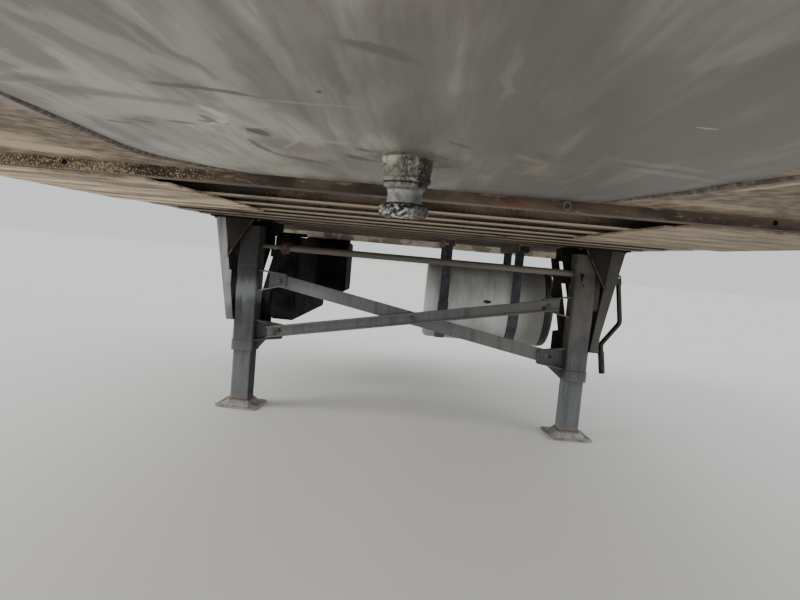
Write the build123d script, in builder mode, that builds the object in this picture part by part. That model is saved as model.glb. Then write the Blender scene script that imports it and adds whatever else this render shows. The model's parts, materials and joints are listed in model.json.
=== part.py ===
"""Front underframe section of a semi trailer, with its kingpin and landing gear.

Frame: +X towards the tractor, +Y to the road side, +Z up. The origin is on the
kingpin's axis, at the underside of the coupler plate. Millimetres.
"""
from math import atan2, degrees
import os

from build123d import *

os.makedirs("parts", exist_ok=True)

# Deck
trailer_width = 2590
nose_x = 915
crossmember_pitch = 304.8
first_crossmember_x = -965
crossmember_count = 11
beam_x = first_crossmember_x - crossmember_count * crossmember_pitch
deck_overhang = 102.2
deck_end_x = beam_x - deck_overhang
crossmember_height = 102
crossmember_flange = 51
flange_thickness = 6
web_thickness = 5
crossmember_bottom_z = -6
crossmember_top_z = crossmember_bottom_z + crossmember_height

# Side rails, C sections that open inward and hold the crossmembers' ends
rail_width = 55
rail_wall = 6
rail_bottom_z = 0
rail_lip_height = 56
rail_inner_y = trailer_width / 2 - rail_width
floor_thickness = 28
board_count = 8
board_gap = 2
floor_top_z = crossmember_top_z + floor_thickness
rail_top_z = floor_top_z + rail_lip_height

# Coupler
plate_thickness = 8
plate_aft_x = -374
strip_thickness = 12
strip_drop = 22
nose_channel_depth = 60
nose_radius = 30
bolster_aft_x = -593
bolster_wall = 8

# Kingpin, the 2 inch pattern
pin_shank_radius = 34
collar_radius = 36.5
collar_length = 35
weld_groove_radius = 44
weld_groove_depth = 3
neck_radius = 25.4
neck_length = 30
tip_radius = 35.7
tip_length = 19
tip_chamfer = 3
pin_root = 4
pin_head_radius = 75
pin_head_height = 22

# Gusset panels behind the coupler
panel_thickness = 6
panel_front_x = bolster_aft_x + 10
panel_inner_y = 640
panel_notch_x = -671
panel_notch_depth = 25

# Landing gear
leg_x = -2587
leg_inset = 332
leg_y = trailer_width / 2 - leg_inset
ground_z = -1107
outer_tube = 127
outer_wall = 6
outer_corner = 16
outer_top_z = -48
outer_bottom_z = -774
collar_size = 136
collar_corner = 20
collar_height = 58
tube_clearance = 0.3
inner_tube = 113
inner_wall = 8
inner_corner = 14
inner_top_z = -420
foot_size = 244
foot_thickness = 10
foot_corner = 16
foot_turn = 4
foot_rise = 40
foot_base = 196
foot_base_corner = 30
foot_neck = 126

# What carries each leg: a mount plate, a hanger plate, an outrigger and a gusset
mount_thickness = 10
mount_inner_reach = 75
mount_outer_reach = 212
hanger_thickness = 10
hanger_outer_reach = 75
hanger_bottom_z = -640
hanger_top_reach = 185
hanger_knee_reach = 125
hanger_knee_z = -590
hanger_inner_reach = 57
upper_wing_reach = 130
upper_wing_z = -318
wing_reach = 125
wing_top_z = -492
wing_slope = 14
outrigger_depth = 70
outrigger_wall = 6
outrigger_knee_z = -505
outrigger_foot_z = -598
gusset_bottom_z = -240
gusset_thickness = 8
gusset_web = 5
gusset_inner_reach = 24
gusset_lip = 28
gusset_lip_width = 9

# Struts, angles from each hanger plate's foot up to a block under a crossmember behind it
strut_inner_reach = 65
strut_width = 32
strut_depth = 72
strut_wall = 6
strut_low_z = -531
strut_top_z = -76
strut_block_width = 45
strut_block_bottom_z = -90

# Cross braces and their brackets; a brace's z is its middle at its end
bracket_reach = 154
bracket_slot = 53
bracket_web = 8
bracket_wall = 6
bracket_depth = 50
brace_wall = 7
brace_reach = 125
brace_end_y = leg_y - brace_reach
brace_low_z = -660
brace_high_z = -345
front_brace_height = 66
front_brace_flange = 30
rear_brace_height = 76
rear_brace_flange = 24

# Cross shaft, gearbox, input shaft and crank
shaft_z = -160
shaft_radius = 19
stub_radius = 12.5
coupling_reach = 197
coupling_y = coupling_reach - leg_y
coupling_radius = 31
coupling_length = 34
shaft_guard_reach = 121
shaft_guard_gap = 2
shaft_guard_thickness = 6
gearbox_width = 110
gearbox_depth = 24
gearbox_height = 300
gearbox_drop = 52
gearbox_corner = 12
crank_pin_reach = 199
crank_pin_y = leg_y + crank_pin_reach
pin_radius = 5
pin_clearance = 0.3
tongue_thickness = 9
tongue_radius = 12
fork_clearance = 0.6
cheek_thickness = 5
fork_width = 30
fork_reach = 44
fork_bridge = 22
crank_rod_radius = 14
crank_drop = 262
crank_offset = 113
crank_slope_drop = 118
crank_handle = 170
crank_bend = 45
crank_tilt = 8.5
grip_radius = 16
grip_length = 128
shaft_hole_clearance = 3

# Tank, its straps and the rails that carry them
tank_x = first_crossmember_x - 8.45 * crossmember_pitch
tank_radius = 280
tank_length = 897
tank_inset = 320
tank_outer_y = trailer_width / 2 - tank_inset
tank_inner_y = tank_outer_y - tank_length
tank_edge = 38
tank_top_z = -160
tank_z = tank_top_z - tank_radius
strap_ys = {"inner": tank_inner_y + 0.143 * tank_length, "outer": tank_inner_y + 0.691 * tank_length}
strap_width = 62
strap_thickness = 5
strap_gap = 0.3
tank_rail_height = 44
tank_rail_width = 74
tank_rail_wall = 6
tank_rail_first = 7
tank_rail_last = 10

# Black boxes on the curb side and their hangers
box_strut_gap = 6.5
box_aft_gap = 30
box_aft_x = deck_end_x + box_aft_gap
box_inset = 315
box_width = 171
box_outer_y = box_inset - trailer_width / 2
box_inner_y = box_outer_y + box_width
box_bottom_z = -659
box_top_z = -80
box_corner = 26
aft_box_length = 340
aft_box_width = 224
aft_box_inner_y = box_inner_y + aft_box_width
aft_box_bottom_z = -492
box_gap = 2
box_hanger_depth = 60
box_hanger_wall = 12
box_hanger_reach = 72
box_arm_top_z = -185
box_arm_bottom_z = -235

# Rear beam, a channel under the last crossmember
beam_height = 52
beam_width = 60
beam_wall = 5


def keep(name, part):
    part.label = name
    export_step(part, f"parts/{name}.step")


# Coupler plate, its aft strip, nose channel and bolster
plate_y = rail_inner_y
with BuildPart() as coupler_plate:
    with BuildSketch(Plane.XY):
        with Locations(((nose_x - nose_radius + plate_aft_x) / 2, 0)):
            Rectangle(nose_x - nose_radius - plate_aft_x, 2 * plate_y)
        Circle(pin_shank_radius, mode=Mode.SUBTRACT)
    extrude(amount=plate_thickness)
    with BuildSketch(Plane.XY):
        Circle(weld_groove_radius)
    extrude(amount=weld_groove_depth, mode=Mode.SUBTRACT)
keep("coupler_plate", coupler_plate.part)

with BuildPart() as coupler_strip:
    with BuildSketch(Plane.XY):
        with Locations((plate_aft_x + strip_thickness / 2, 0)):
            Rectangle(strip_thickness, 2 * plate_y)
    extrude(amount=-strip_drop)
keep("coupler_strip", coupler_strip.part)

with BuildPart() as nose_channel:
    with BuildSketch(Plane.XZ.offset(-plate_y)):
        with BuildLine():
            start = (nose_x - nose_radius, 0)
            bend = RadiusArc(start, (nose_x, nose_radius), -nose_radius)
            Polyline(
                bend @ 1,
                (nose_x, crossmember_top_z),
                (nose_x - nose_channel_depth, crossmember_top_z),
                (nose_x - nose_channel_depth, crossmember_top_z - plate_thickness),
                (nose_x - plate_thickness, crossmember_top_z - plate_thickness),
                (nose_x - plate_thickness, nose_radius),
            )
            RadiusArc((nose_x - plate_thickness, nose_radius), (nose_x - nose_radius, plate_thickness),
                      nose_radius - plate_thickness)
            Line((nose_x - nose_radius, plate_thickness), start)
        make_face()
    extrude(amount=2 * plate_y)
keep("nose_channel", nose_channel.part)

with BuildPart() as aft_bolster:
    with BuildSketch(Plane.XZ.offset(-plate_y)):
        with BuildLine():
            Polyline(
                (plate_aft_x, crossmember_bottom_z),
                (plate_aft_x, crossmember_top_z),
                (bolster_aft_x + crossmember_flange, crossmember_top_z),
                (bolster_aft_x + crossmember_flange, crossmember_bottom_z + bolster_wall),
                (bolster_aft_x, crossmember_bottom_z + bolster_wall),
                (bolster_aft_x, crossmember_bottom_z),
                close=True,
            )
        make_face()
        with BuildLine():
            Polyline(
                (plate_aft_x - bolster_wall, crossmember_bottom_z + bolster_wall),
                (plate_aft_x - bolster_wall, crossmember_top_z - bolster_wall),
                (bolster_aft_x + crossmember_flange + bolster_wall, crossmember_top_z - bolster_wall),
                (bolster_aft_x + crossmember_flange + bolster_wall, crossmember_bottom_z + bolster_wall),
                close=True,
            )
        make_face(mode=Mode.SUBTRACT)
    extrude(amount=2 * plate_y)
keep("aft_bolster", aft_bolster.part)

# Kingpin: a revolved profile, from the head above the plate to the lower flange
neck_z = -collar_length
tip_z = neck_z - neck_length
end_z = tip_z - tip_length
with BuildPart() as kingpin:
    with BuildSketch(Plane.XZ):
        with BuildLine():
            Polyline(
                (0, plate_thickness + pin_head_height),
                (pin_head_radius, plate_thickness + pin_head_height),
                (pin_head_radius, plate_thickness),
                (pin_shank_radius, plate_thickness),
                (pin_shank_radius, 0),
                (collar_radius, 0),
                (collar_radius, neck_z),
                (neck_radius + pin_root, neck_z),
                (neck_radius, neck_z - pin_root),
                (neck_radius, tip_z + pin_root),
                (neck_radius + pin_root, tip_z),
                (tip_radius, tip_z),
                (tip_radius, end_z + tip_chamfer),
                (tip_radius - tip_chamfer, end_z),
                (0, end_z),
                close=True,
            )
        make_face()
    revolve(axis=Axis.Z)
keep("kingpin", kingpin.part)

# Crossmembers, I beams between the rails; the last one carries the rear beam
def crossmember(x):
    with BuildPart() as beam:
        with BuildSketch(Plane.XZ.offset(-rail_inner_y)):
            with Locations((x, crossmember_bottom_z + crossmember_height / 2)):
                Rectangle(web_thickness, crossmember_height)
            with Locations(
                (x, crossmember_bottom_z + flange_thickness / 2),
                (x, crossmember_top_z - flange_thickness / 2),
            ):
                Rectangle(crossmember_flange, flange_thickness)
        extrude(amount=2 * rail_inner_y)
    return beam.part


def crossmember_x(number):
    return first_crossmember_x - number * crossmember_pitch


for number in range(crossmember_count):
    keep(f"crossmember_{number + 1:02d}", crossmember(crossmember_x(number)))
keep("rear_crossmember", crossmember(beam_x))

with BuildPart() as rear_beam:
    with BuildSketch(Plane.XZ.offset(-rail_inner_y)):
        with Locations((beam_x, crossmember_bottom_z - beam_height / 2)):
            Rectangle(beam_width, beam_height)
        with Locations((beam_x - beam_wall, crossmember_bottom_z - beam_height / 2)):
            Rectangle(beam_width, beam_height - 2 * beam_wall, mode=Mode.SUBTRACT)
    extrude(amount=2 * rail_inner_y)
keep("rear_beam", rear_beam.part)

# Side rails
rail_length = nose_x - deck_end_x
for side, name in ((1, "side_rail_left"), (-1, "side_rail_right")):
    outer_y = side * trailer_width / 2
    with BuildPart() as rail:
        with BuildSketch(Plane.YZ.offset(deck_end_x)):
            with Locations((outer_y - side * rail_wall / 2, (rail_bottom_z + rail_top_z) / 2)):
                Rectangle(rail_wall, rail_top_z - rail_bottom_z)
            with Locations(
                (outer_y - side * rail_width / 2, rail_bottom_z + rail_wall / 2),
                (outer_y - side * rail_width / 2, crossmember_top_z - rail_wall / 2),
            ):
                Rectangle(rail_width, rail_wall)
        extrude(amount=rail_length)
    keep(name, rail.part)

# Floor boards
floor_width = trailer_width - 2 * rail_wall
board_width = (floor_width - (board_count + 1) * board_gap) / board_count
with BuildPart() as floor_boards:
    with BuildSketch(Plane.XY.offset(crossmember_top_z)):
        with Locations(((nose_x + deck_end_x) / 2, 0)):
            with GridLocations(0, board_width + board_gap, 1, board_count):
                Rectangle(rail_length, board_width)
    extrude(amount=floor_thickness)
keep("floor_boards", floor_boards.part)

# Gusset panels under the crossmembers behind the coupler
panel_aft_x = first_crossmember_x - 2 * crossmember_pitch - crossmember_flange / 2
for side, name in ((1, "gusset_panel_left"), (-1, "gusset_panel_right")):
    with BuildPart() as panel:
        with BuildSketch(Plane.XY.offset(crossmember_bottom_z)):
            with BuildLine():
                Polyline(
                    (panel_front_x, side * (panel_inner_y + panel_notch_depth)),
                    (panel_notch_x, side * (panel_inner_y + panel_notch_depth)),
                    (panel_notch_x, side * panel_inner_y),
                    (panel_aft_x, side * panel_inner_y),
                    (panel_aft_x, side * rail_inner_y),
                    (panel_front_x, side * rail_inner_y),
                    close=True,
                )
            make_face()
        extrude(amount=-panel_thickness)
    keep(name, panel.part)

# Landing gear: both legs by one loop, left is the road side
mount_crossmember = int((first_crossmember_x - leg_x) / crossmember_pitch)
mount_front_x = crossmember_x(mount_crossmember) + crossmember_flange / 2
mount_aft_x = crossmember_x(mount_crossmember + 1) - crossmember_flange / 2
mount_under_z = crossmember_bottom_z - mount_thickness
leg_front_x = leg_x + outer_tube / 2
leg_inner_y = leg_y - outer_tube / 2
leg_outer_y = leg_y + outer_tube / 2
outrigger_front_x = leg_front_x + gusset_thickness
foot_taper = degrees(atan2((foot_base - foot_neck) / 2, foot_rise - foot_thickness))
strut_low_x = leg_x - outer_tube / 2 - hanger_thickness
strut_top_x = crossmember_x(mount_crossmember + 2)
strut_run = strut_low_x - strut_top_x
strut_fall = strut_top_z - strut_low_z
strut_length = (strut_run ** 2 + strut_fall ** 2) ** 0.5
strut_block_front_x = strut_top_x + crossmember_flange / 2
strut_block_aft_x = strut_top_x - strut_depth * strut_length / strut_fall
box_front_x = strut_block_aft_x - box_strut_gap

# Outriggers, reaches out from the leg's axis: top inner, top outer, at the knee, at the foot
outrigger_rows = {
    "left": (128, 202, 113, 112),
    "right": (144, 198, 119, 104),
}

for side_name, side in {"left": 1, "right": -1}.items():
    axis_y = side * leg_y
    top_inner, top_outer, knee_outer, foot_outer = outrigger_rows[side_name]
    top_inner_y = leg_y + top_inner

    with BuildPart() as outer:
        with BuildSketch(Plane.XY.offset(outer_bottom_z)):
            with Locations((leg_x, axis_y)):
                RectangleRounded(outer_tube, outer_tube, outer_corner)
        extrude(amount=outer_top_z - outer_bottom_z)
        with BuildSketch(Plane.XY.offset(outer_bottom_z)):
            with Locations((leg_x, axis_y)):
                RectangleRounded(collar_size, collar_size, collar_corner)
        extrude(amount=collar_height)
        bore = inner_tube + 2 * tube_clearance
        with BuildSketch(Plane.XY.offset(outer_bottom_z)):
            with Locations((leg_x, axis_y)):
                RectangleRounded(bore, bore, inner_corner)
        extrude(amount=outer_top_z - outer_bottom_z - outer_wall, mode=Mode.SUBTRACT)
    keep(f"outer_tube_{side_name}", outer.part)

    with BuildPart() as inner:
        with BuildSketch(Plane.XY.offset(ground_z + foot_rise)):
            with Locations((leg_x, axis_y)):
                RectangleRounded(inner_tube, inner_tube, inner_corner)
                hollow = inner_tube - 2 * inner_wall
                RectangleRounded(hollow, hollow, inner_corner - inner_wall, mode=Mode.SUBTRACT)
        extrude(amount=inner_top_z - ground_z - foot_rise)
    keep(f"inner_tube_{side_name}", inner.part)

    with BuildPart() as foot:
        with BuildSketch(Plane.XY.offset(ground_z)) as pad:
            with Locations((leg_x, axis_y)):
                Rectangle(foot_size, foot_size, rotation=side * foot_turn)
            chamfer(pad.vertices(), foot_corner)
        extrude(amount=foot_thickness)
        with BuildSketch(Plane.XY.offset(ground_z + foot_thickness)) as base:
            with Locations((leg_x, axis_y)):
                Rectangle(foot_base, foot_base)
            chamfer(base.vertices(), foot_base_corner)
        extrude(amount=foot_rise - foot_thickness, taper=foot_taper)
    keep(f"foot_{side_name}", foot.part)

    # Mount plate, welded under two crossmembers
    with BuildPart() as mount_plate:
        with BuildSketch(Plane.XY.offset(crossmember_bottom_z)):
            with Locations((
                (mount_front_x + mount_aft_x) / 2,
                side * (leg_y + (mount_outer_reach - mount_inner_reach) / 2),
            )):
                Rectangle(mount_front_x - mount_aft_x, mount_inner_reach + mount_outer_reach)
        extrude(amount=-mount_thickness)
    keep(f"mount_plate_{side_name}", mount_plate.part)

    # Hanger plate, down the leg's back, tapered outward, with wings inward at its top and foot
    with BuildPart() as hanger:
        with BuildSketch(Plane.YZ.offset(leg_x - outer_tube / 2)):
            with BuildLine():
                Polyline(
                    (side * (leg_y + hanger_top_reach), mount_under_z),
                    (side * (leg_y - upper_wing_reach), mount_under_z),
                    (side * (leg_y - hanger_inner_reach), upper_wing_z),
                    (side * (leg_y - hanger_inner_reach), wing_top_z),
                    (side * (leg_y - wing_reach), wing_top_z - wing_slope),
                    (side * (leg_y - wing_reach), hanger_bottom_z),
                    (side * (leg_y + hanger_outer_reach), hanger_bottom_z),
                    (side * (leg_y + hanger_knee_reach), hanger_knee_z),
                    close=True,
                )
            make_face()
        extrude(amount=-hanger_thickness)
    keep(f"hanger_plate_{side_name}", hanger.part)

    # Strut: its web is the deep leg, inward, and its flange is the narrow one, on top
    with BuildPart() as strut:
        for width, depth in ((strut_wall, strut_depth), (strut_width, strut_wall)):
            near_y = side * (leg_y - strut_inner_reach)
            far_y = side * (leg_y - strut_inner_reach + width)
            with BuildSketch(Plane.XZ.offset(-max(near_y, far_y))):
                with BuildLine():
                    Polyline(
                        (strut_top_x, strut_top_z),
                        (strut_low_x, strut_low_z),
                        (strut_low_x, strut_low_z - depth * strut_length / strut_run),
                        (strut_top_x - depth * strut_length / strut_fall, strut_top_z),
                        close=True,
                    )
                make_face()
            extrude(amount=width)
        with BuildSketch(Plane.XY.offset(crossmember_bottom_z)):
            with Locations((
                (strut_block_front_x + strut_block_aft_x) / 2,
                far_y + side * strut_block_width / 2,
            )):
                Rectangle(strut_block_front_x - strut_block_aft_x, strut_block_width)
        extrude(amount=strut_block_bottom_z - crossmember_bottom_z)
    keep(f"leg_strut_{side_name}", strut.part)

    # Outrigger: a channel open to the back, from the mount plate to the leg's outer face
    with BuildPart() as outrigger:
        outline = [
            (side * top_inner_y, mount_under_z),
            (side * (leg_y + top_outer), mount_under_z),
            (side * (leg_y + knee_outer), outrigger_knee_z),
            (side * (leg_y + foot_outer), outrigger_foot_z),
            (side * leg_outer_y, outrigger_foot_z),
        ]
        with BuildSketch(Plane.YZ.offset(outrigger_front_x)):
            with BuildLine():
                Polyline(*outline, close=True)
            make_face()
        extrude(amount=-outrigger_depth)
        with BuildSketch(Plane.YZ.offset(outrigger_front_x - outrigger_wall)):
            with BuildLine():
                Polyline(*outline, close=True)
            make_face()
            offset(amount=-outrigger_wall, kind=Kind.INTERSECTION, mode=Mode.REPLACE)
        extrude(amount=-outrigger_depth, mode=Mode.SUBTRACT)
        if side_name == "left":
            with BuildSketch(Plane.XZ.offset(-leg_y)):
                with Locations((leg_x, shaft_z)):
                    Circle(stub_radius + shaft_hole_clearance)
            extrude(amount=-trailer_width, mode=Mode.SUBTRACT)
    keep(f"outrigger_{side_name}", outrigger.part)

    # Gusset: a three-cornered web from the outrigger up to the mount plate over the leg,
    # with a lip forward along its sloping edge
    inner_slope = (top_inner_y - leg_outer_y) / (mount_under_z - outrigger_foot_z)
    gusset_top_y = leg_y - gusset_inner_reach
    gusset_foot_y = top_inner_y + inner_slope * (gusset_bottom_z - mount_under_z)
    lip_rise = gusset_lip_width * (mount_under_z - gusset_bottom_z) / (gusset_foot_y - gusset_top_y)
    web_corners = [(top_inner_y, mount_under_z)]
    lip_corners = [
        (gusset_top_y + gusset_lip_width, mount_under_z),
        (gusset_foot_y, gusset_bottom_z + lip_rise),
    ]
    with BuildPart() as gusset:
        for depth, corners in ((gusset_web, web_corners), (gusset_lip, lip_corners)):
            outline = [(gusset_top_y, mount_under_z), *corners, (gusset_foot_y, gusset_bottom_z)]
            with BuildSketch(Plane.YZ.offset(leg_front_x)):
                with BuildLine():
                    Polyline(*[(side * y, z) for y, z in outline], close=True)
                make_face()
            extrude(amount=depth)
    keep(f"leg_gusset_{side_name}", gusset.part)

# Brace brackets: a web bolted to the brace, and flanges back to the leg above and below it.
# The upper webs stop short of the leg; the lower ones reach it and end in a foot over the collar.
# name, side, top and bottom z at the leg, top and bottom z at the end, top and bottom flange reach,
# slot beside the leg, reach of the foot
bracket_rows = (
    ("upper_left", 1, -293, -413, -319, -385, bracket_reach, 107, bracket_slot, 0),
    ("lower_left", 1, -588, -714, -617, -693, bracket_reach, bracket_reach, 0, 96),
    ("upper_right", -1, -298, -422, -312, -380, bracket_reach, bracket_reach, bracket_slot, 0),
    ("lower_right", -1, -590, -714, -609, -690, 68, bracket_reach, 0, 62),
)
collar_face_y = leg_y - collar_size / 2


def edge_z(leg_z, end_z, reach):
    """Height of a bracket's sloping edge at a reach from the leg."""
    return leg_z + (end_z - leg_z) * reach / bracket_reach


for name, side, leg_top_z, leg_bottom_z, end_top_z, end_bottom_z, top_reach, bottom_reach, slot, foot in bracket_rows:
    end_y = leg_inner_y - bracket_reach
    web_y = leg_inner_y - slot
    with BuildPart() as bracket:
        with BuildSketch(Plane.YZ.offset(leg_x)):
            with BuildLine():
                Polyline(
                    (side * web_y, edge_z(leg_top_z, end_top_z, slot)),
                    (side * end_y, end_top_z),
                    (side * end_y, end_bottom_z),
                    (side * web_y, edge_z(leg_bottom_z, end_bottom_z, slot)),
                    close=True,
                )
            make_face()
            if foot:
                with BuildLine():
                    Polyline(
                        (side * (leg_inner_y - foot), edge_z(leg_bottom_z, end_bottom_z, foot)),
                        (side * collar_face_y, edge_z(leg_bottom_z, end_bottom_z, leg_inner_y - collar_face_y)),
                        (side * collar_face_y, outer_bottom_z),
                        close=True,
                    )
                make_face()
        extrude(amount=bracket_web)
        for leg_z, end_z, reach, wall in (
            (leg_top_z, end_top_z, top_reach, -bracket_wall),
            (leg_bottom_z, end_bottom_z, bottom_reach, bracket_wall),
        ):
            flange_y = leg_inner_y - reach
            flange_z = edge_z(leg_z, end_z, reach)
            with BuildSketch(Plane.YZ.offset(leg_x)):
                with BuildLine():
                    Polyline(
                        (side * leg_inner_y, leg_z),
                        (side * flange_y, flange_z),
                        (side * flange_y, flange_z + wall),
                        (side * leg_inner_y, leg_z + wall),
                        close=True,
                    )
                make_face()
            extrude(amount=bracket_depth)
    keep(f"brace_bracket_{name}", bracket.part)

# Braces, channels on edge: name, back face x, low side, height, flange (forward is plus)
brace_rows = (
    ("front_brace", leg_x + bracket_web, -1, front_brace_height, front_brace_flange),
    ("rear_brace", leg_x - brace_wall, 1, rear_brace_height, -rear_brace_flange),
)
for name, back_x, low_side, height, flange in brace_rows:
    flange_x = back_x if flange > 0 else back_x + brace_wall
    with BuildPart() as brace:
        for start_x, depth, bottom, top in (
            (back_x, brace_wall, -height / 2, height / 2),
            (flange_x, flange, -height / 2, brace_wall - height / 2),
            (flange_x, flange, height / 2 - brace_wall, height / 2),
        ):
            with BuildSketch(Plane.YZ.offset(start_x)):
                with BuildLine():
                    Polyline(
                        (low_side * brace_end_y, brace_low_z + bottom),
                        (low_side * brace_end_y, brace_low_z + top),
                        (-low_side * brace_end_y, brace_high_z + top),
                        (-low_side * brace_end_y, brace_high_z + bottom),
                        close=True,
                    )
                make_face()
            extrude(amount=depth)
    keep(name, brace.part)


# Cross shaft between the legs, with its coupling: radius, from y, to y
shaft_rows = (
    (stub_radius, -leg_inner_y, coupling_y),
    (coupling_radius, coupling_y - coupling_length / 2, coupling_y + coupling_length / 2),
    (shaft_radius, coupling_y, leg_inner_y),
)
with BuildPart() as cross_shaft:
    for radius, start_y, end_y in shaft_rows:
        with BuildSketch(Plane.XZ.offset(-start_y)):
            with Locations((leg_x, shaft_z)):
                Circle(radius)
        extrude(amount=start_y - end_y)
keep("cross_shaft", cross_shaft.part)

# Guard plate behind the shaft at the road-side leg
with BuildPart() as shaft_guard:
    guard_x = leg_x - shaft_radius - shaft_guard_gap
    with BuildSketch(Plane.YZ.offset(guard_x)):
        with BuildLine():
            Polyline(
                (leg_inner_y, shaft_z + shaft_radius),
                (leg_inner_y - shaft_guard_reach, shaft_z + shaft_radius),
                (leg_inner_y - shaft_guard_reach, shaft_z - shaft_radius),
                (leg_inner_y - shaft_guard_reach / 2, shaft_z - 3.3 * shaft_radius),
                (leg_inner_y, shaft_z - 3.3 * shaft_radius),
                close=True,
            )
        make_face()
    extrude(amount=-shaft_guard_thickness)
keep("shaft_guard", shaft_guard.part)

# Gearbox on the road-side leg's outer face
with BuildPart() as gearbox:
    with BuildSketch(Plane.XZ.offset(-leg_outer_y)):
        with Locations((leg_x, shaft_z - gearbox_drop)):
            RectangleRounded(gearbox_width, gearbox_height, gearbox_corner)
        with Locations((leg_x, shaft_z)):
            Circle(stub_radius, mode=Mode.SUBTRACT)
    extrude(amount=-gearbox_depth)
keep("gearbox", gearbox.part)

# Input shaft, from the leg through the gearbox and outrigger to a flat tongue
shaft_shoulder_y = crank_pin_y - fork_width / 2 - tongue_radius
with BuildPart() as crank_shaft:
    with BuildSketch(Plane.XZ.offset(-leg_outer_y)):
        with Locations((leg_x, shaft_z)):
            Circle(stub_radius)
    extrude(amount=leg_outer_y - shaft_shoulder_y)
    with BuildSketch(Plane.YZ.offset(leg_x - tongue_thickness / 2)):
        with Locations(((shaft_shoulder_y + crank_pin_y) / 2, shaft_z)):
            Rectangle(crank_pin_y - shaft_shoulder_y, 2 * tongue_radius)
        with Locations((crank_pin_y, shaft_z)):
            Circle(tongue_radius)
            Circle(pin_radius + pin_clearance, mode=Mode.SUBTRACT)
    extrude(amount=tongue_thickness)
keep("crank_shaft", crank_shaft.part)

# Crank, hanging as stowed: fork with its pin, then a rod bent twice, with a grip.
# It is drawn upright and then tilted, because its bend brings its weight to hang under the pin.
knee_z = shaft_z - crank_drop
elbow_z = knee_z - crank_slope_drop
end_of_crank_z = elbow_z - crank_handle
fork_half = tongue_thickness / 2 + fork_clearance + cheek_thickness
with BuildPart() as crank:
    with BuildLine(Plane.YZ.offset(leg_x)) as crank_path:
        FilletPolyline(
            (crank_pin_y, shaft_z - fork_reach + 1),
            (crank_pin_y, knee_z),
            (crank_pin_y - crank_offset, elbow_z),
            (crank_pin_y - crank_offset, end_of_crank_z),
            radius=crank_bend,
        )
    with BuildSketch(Plane((leg_x, crank_pin_y, shaft_z - fork_reach + 1), z_dir=(0, 0, -1))):
        Circle(crank_rod_radius)
    sweep(path=crank_path.line)
    with BuildSketch(Plane.XY.offset(end_of_crank_z)):
        with Locations((leg_x, crank_pin_y - crank_offset)):
            Circle(grip_radius)
    extrude(amount=grip_length)
    with BuildSketch(Plane.YZ.offset(leg_x - fork_half)):
        with Locations((crank_pin_y, shaft_z - fork_reach / 2)):
            Rectangle(fork_width, fork_reach)
        with Locations((crank_pin_y, shaft_z)):
            Circle(fork_width / 2)
    extrude(amount=2 * fork_half)
    slot_half = tongue_thickness / 2 + fork_clearance
    with BuildSketch(Plane.YZ.offset(leg_x - slot_half)):
        with Locations((crank_pin_y, shaft_z + (fork_width / 2 - fork_bridge) / 2)):
            Rectangle(2 * fork_width, fork_width / 2 + fork_bridge)
    extrude(amount=2 * slot_half, mode=Mode.SUBTRACT)
    with BuildSketch(Plane.YZ.offset(leg_x - fork_half)):
        with Locations((crank_pin_y, shaft_z)):
            Circle(pin_radius)
    extrude(amount=2 * fork_half)
pin_axis = Axis((leg_x, crank_pin_y, shaft_z), (1, 0, 0))
keep("crank", crank.part.rotate(pin_axis, crank_tilt))

# Tank with rounded ends, hung in two straps; each end's edge is two cones
edge_step = tank_edge * (1 - 0.5 ** 0.5)
with BuildPart() as tank:
    with BuildSketch(Plane.XY.offset(tank_z)):
        with BuildLine():
            Polyline(
                (tank_x, tank_inner_y),
                (tank_x + tank_radius - tank_edge, tank_inner_y),
                (tank_x + tank_radius - edge_step, tank_inner_y + edge_step),
                (tank_x + tank_radius, tank_inner_y + tank_edge),
                (tank_x + tank_radius, tank_outer_y - tank_edge),
                (tank_x + tank_radius - edge_step, tank_outer_y - edge_step),
                (tank_x + tank_radius - tank_edge, tank_outer_y),
                (tank_x, tank_outer_y),
                close=True,
            )
        make_face()
    revolve(axis=Axis((tank_x, 0, tank_z), (0, 1, 0)))
keep("fuel_tank", tank.part)

rail_front_x = crossmember_x(tank_rail_first) + crossmember_flange / 2
rail_aft_x = crossmember_x(tank_rail_last) - crossmember_flange / 2
tank_rail_bottom_z = crossmember_bottom_z - tank_rail_height
for name, y in strap_ys.items():
    # Rail: a channel along the deck, open downwards, under four crossmembers
    with BuildPart() as tank_rail:
        with BuildSketch(Plane.YZ.offset(rail_aft_x)):
            with Locations((y, crossmember_bottom_z - tank_rail_height / 2)):
                Rectangle(tank_rail_width, tank_rail_height)
            with Locations((y, tank_rail_bottom_z + (tank_rail_height - tank_rail_wall) / 2)):
                Rectangle(tank_rail_width - 2 * tank_rail_wall, tank_rail_height - tank_rail_wall,
                          mode=Mode.SUBTRACT)
        extrude(amount=rail_front_x - rail_aft_x)
    keep(f"tank_rail_{name}", tank_rail.part)

    # Strap: a U round the tank's lower half, its ends straight up to the rail
    strap_radius = tank_radius + strap_gap
    with BuildPart() as strap:
        with BuildSketch(Plane.XZ.offset(-y - strap_width / 2)):
            with BuildLine():
                outer_radius = strap_radius + strap_thickness
                Polyline(
                    (tank_x + strap_radius, tank_z),
                    (tank_x + strap_radius, tank_rail_bottom_z),
                    (tank_x + outer_radius, tank_rail_bottom_z),
                    (tank_x + outer_radius, tank_z),
                )
                ThreePointArc(
                    (tank_x + outer_radius, tank_z),
                    (tank_x, tank_z - outer_radius),
                    (tank_x - outer_radius, tank_z),
                )
                Polyline(
                    (tank_x - outer_radius, tank_z),
                    (tank_x - outer_radius, tank_rail_bottom_z),
                    (tank_x - strap_radius, tank_rail_bottom_z),
                    (tank_x - strap_radius, tank_z),
                )
                ThreePointArc(
                    (tank_x - strap_radius, tank_z),
                    (tank_x, tank_z - strap_radius),
                    (tank_x + strap_radius, tank_z),
                )
            make_face()
        extrude(amount=strap_width)
    keep(f"tank_strap_{name}", strap.part)

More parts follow.
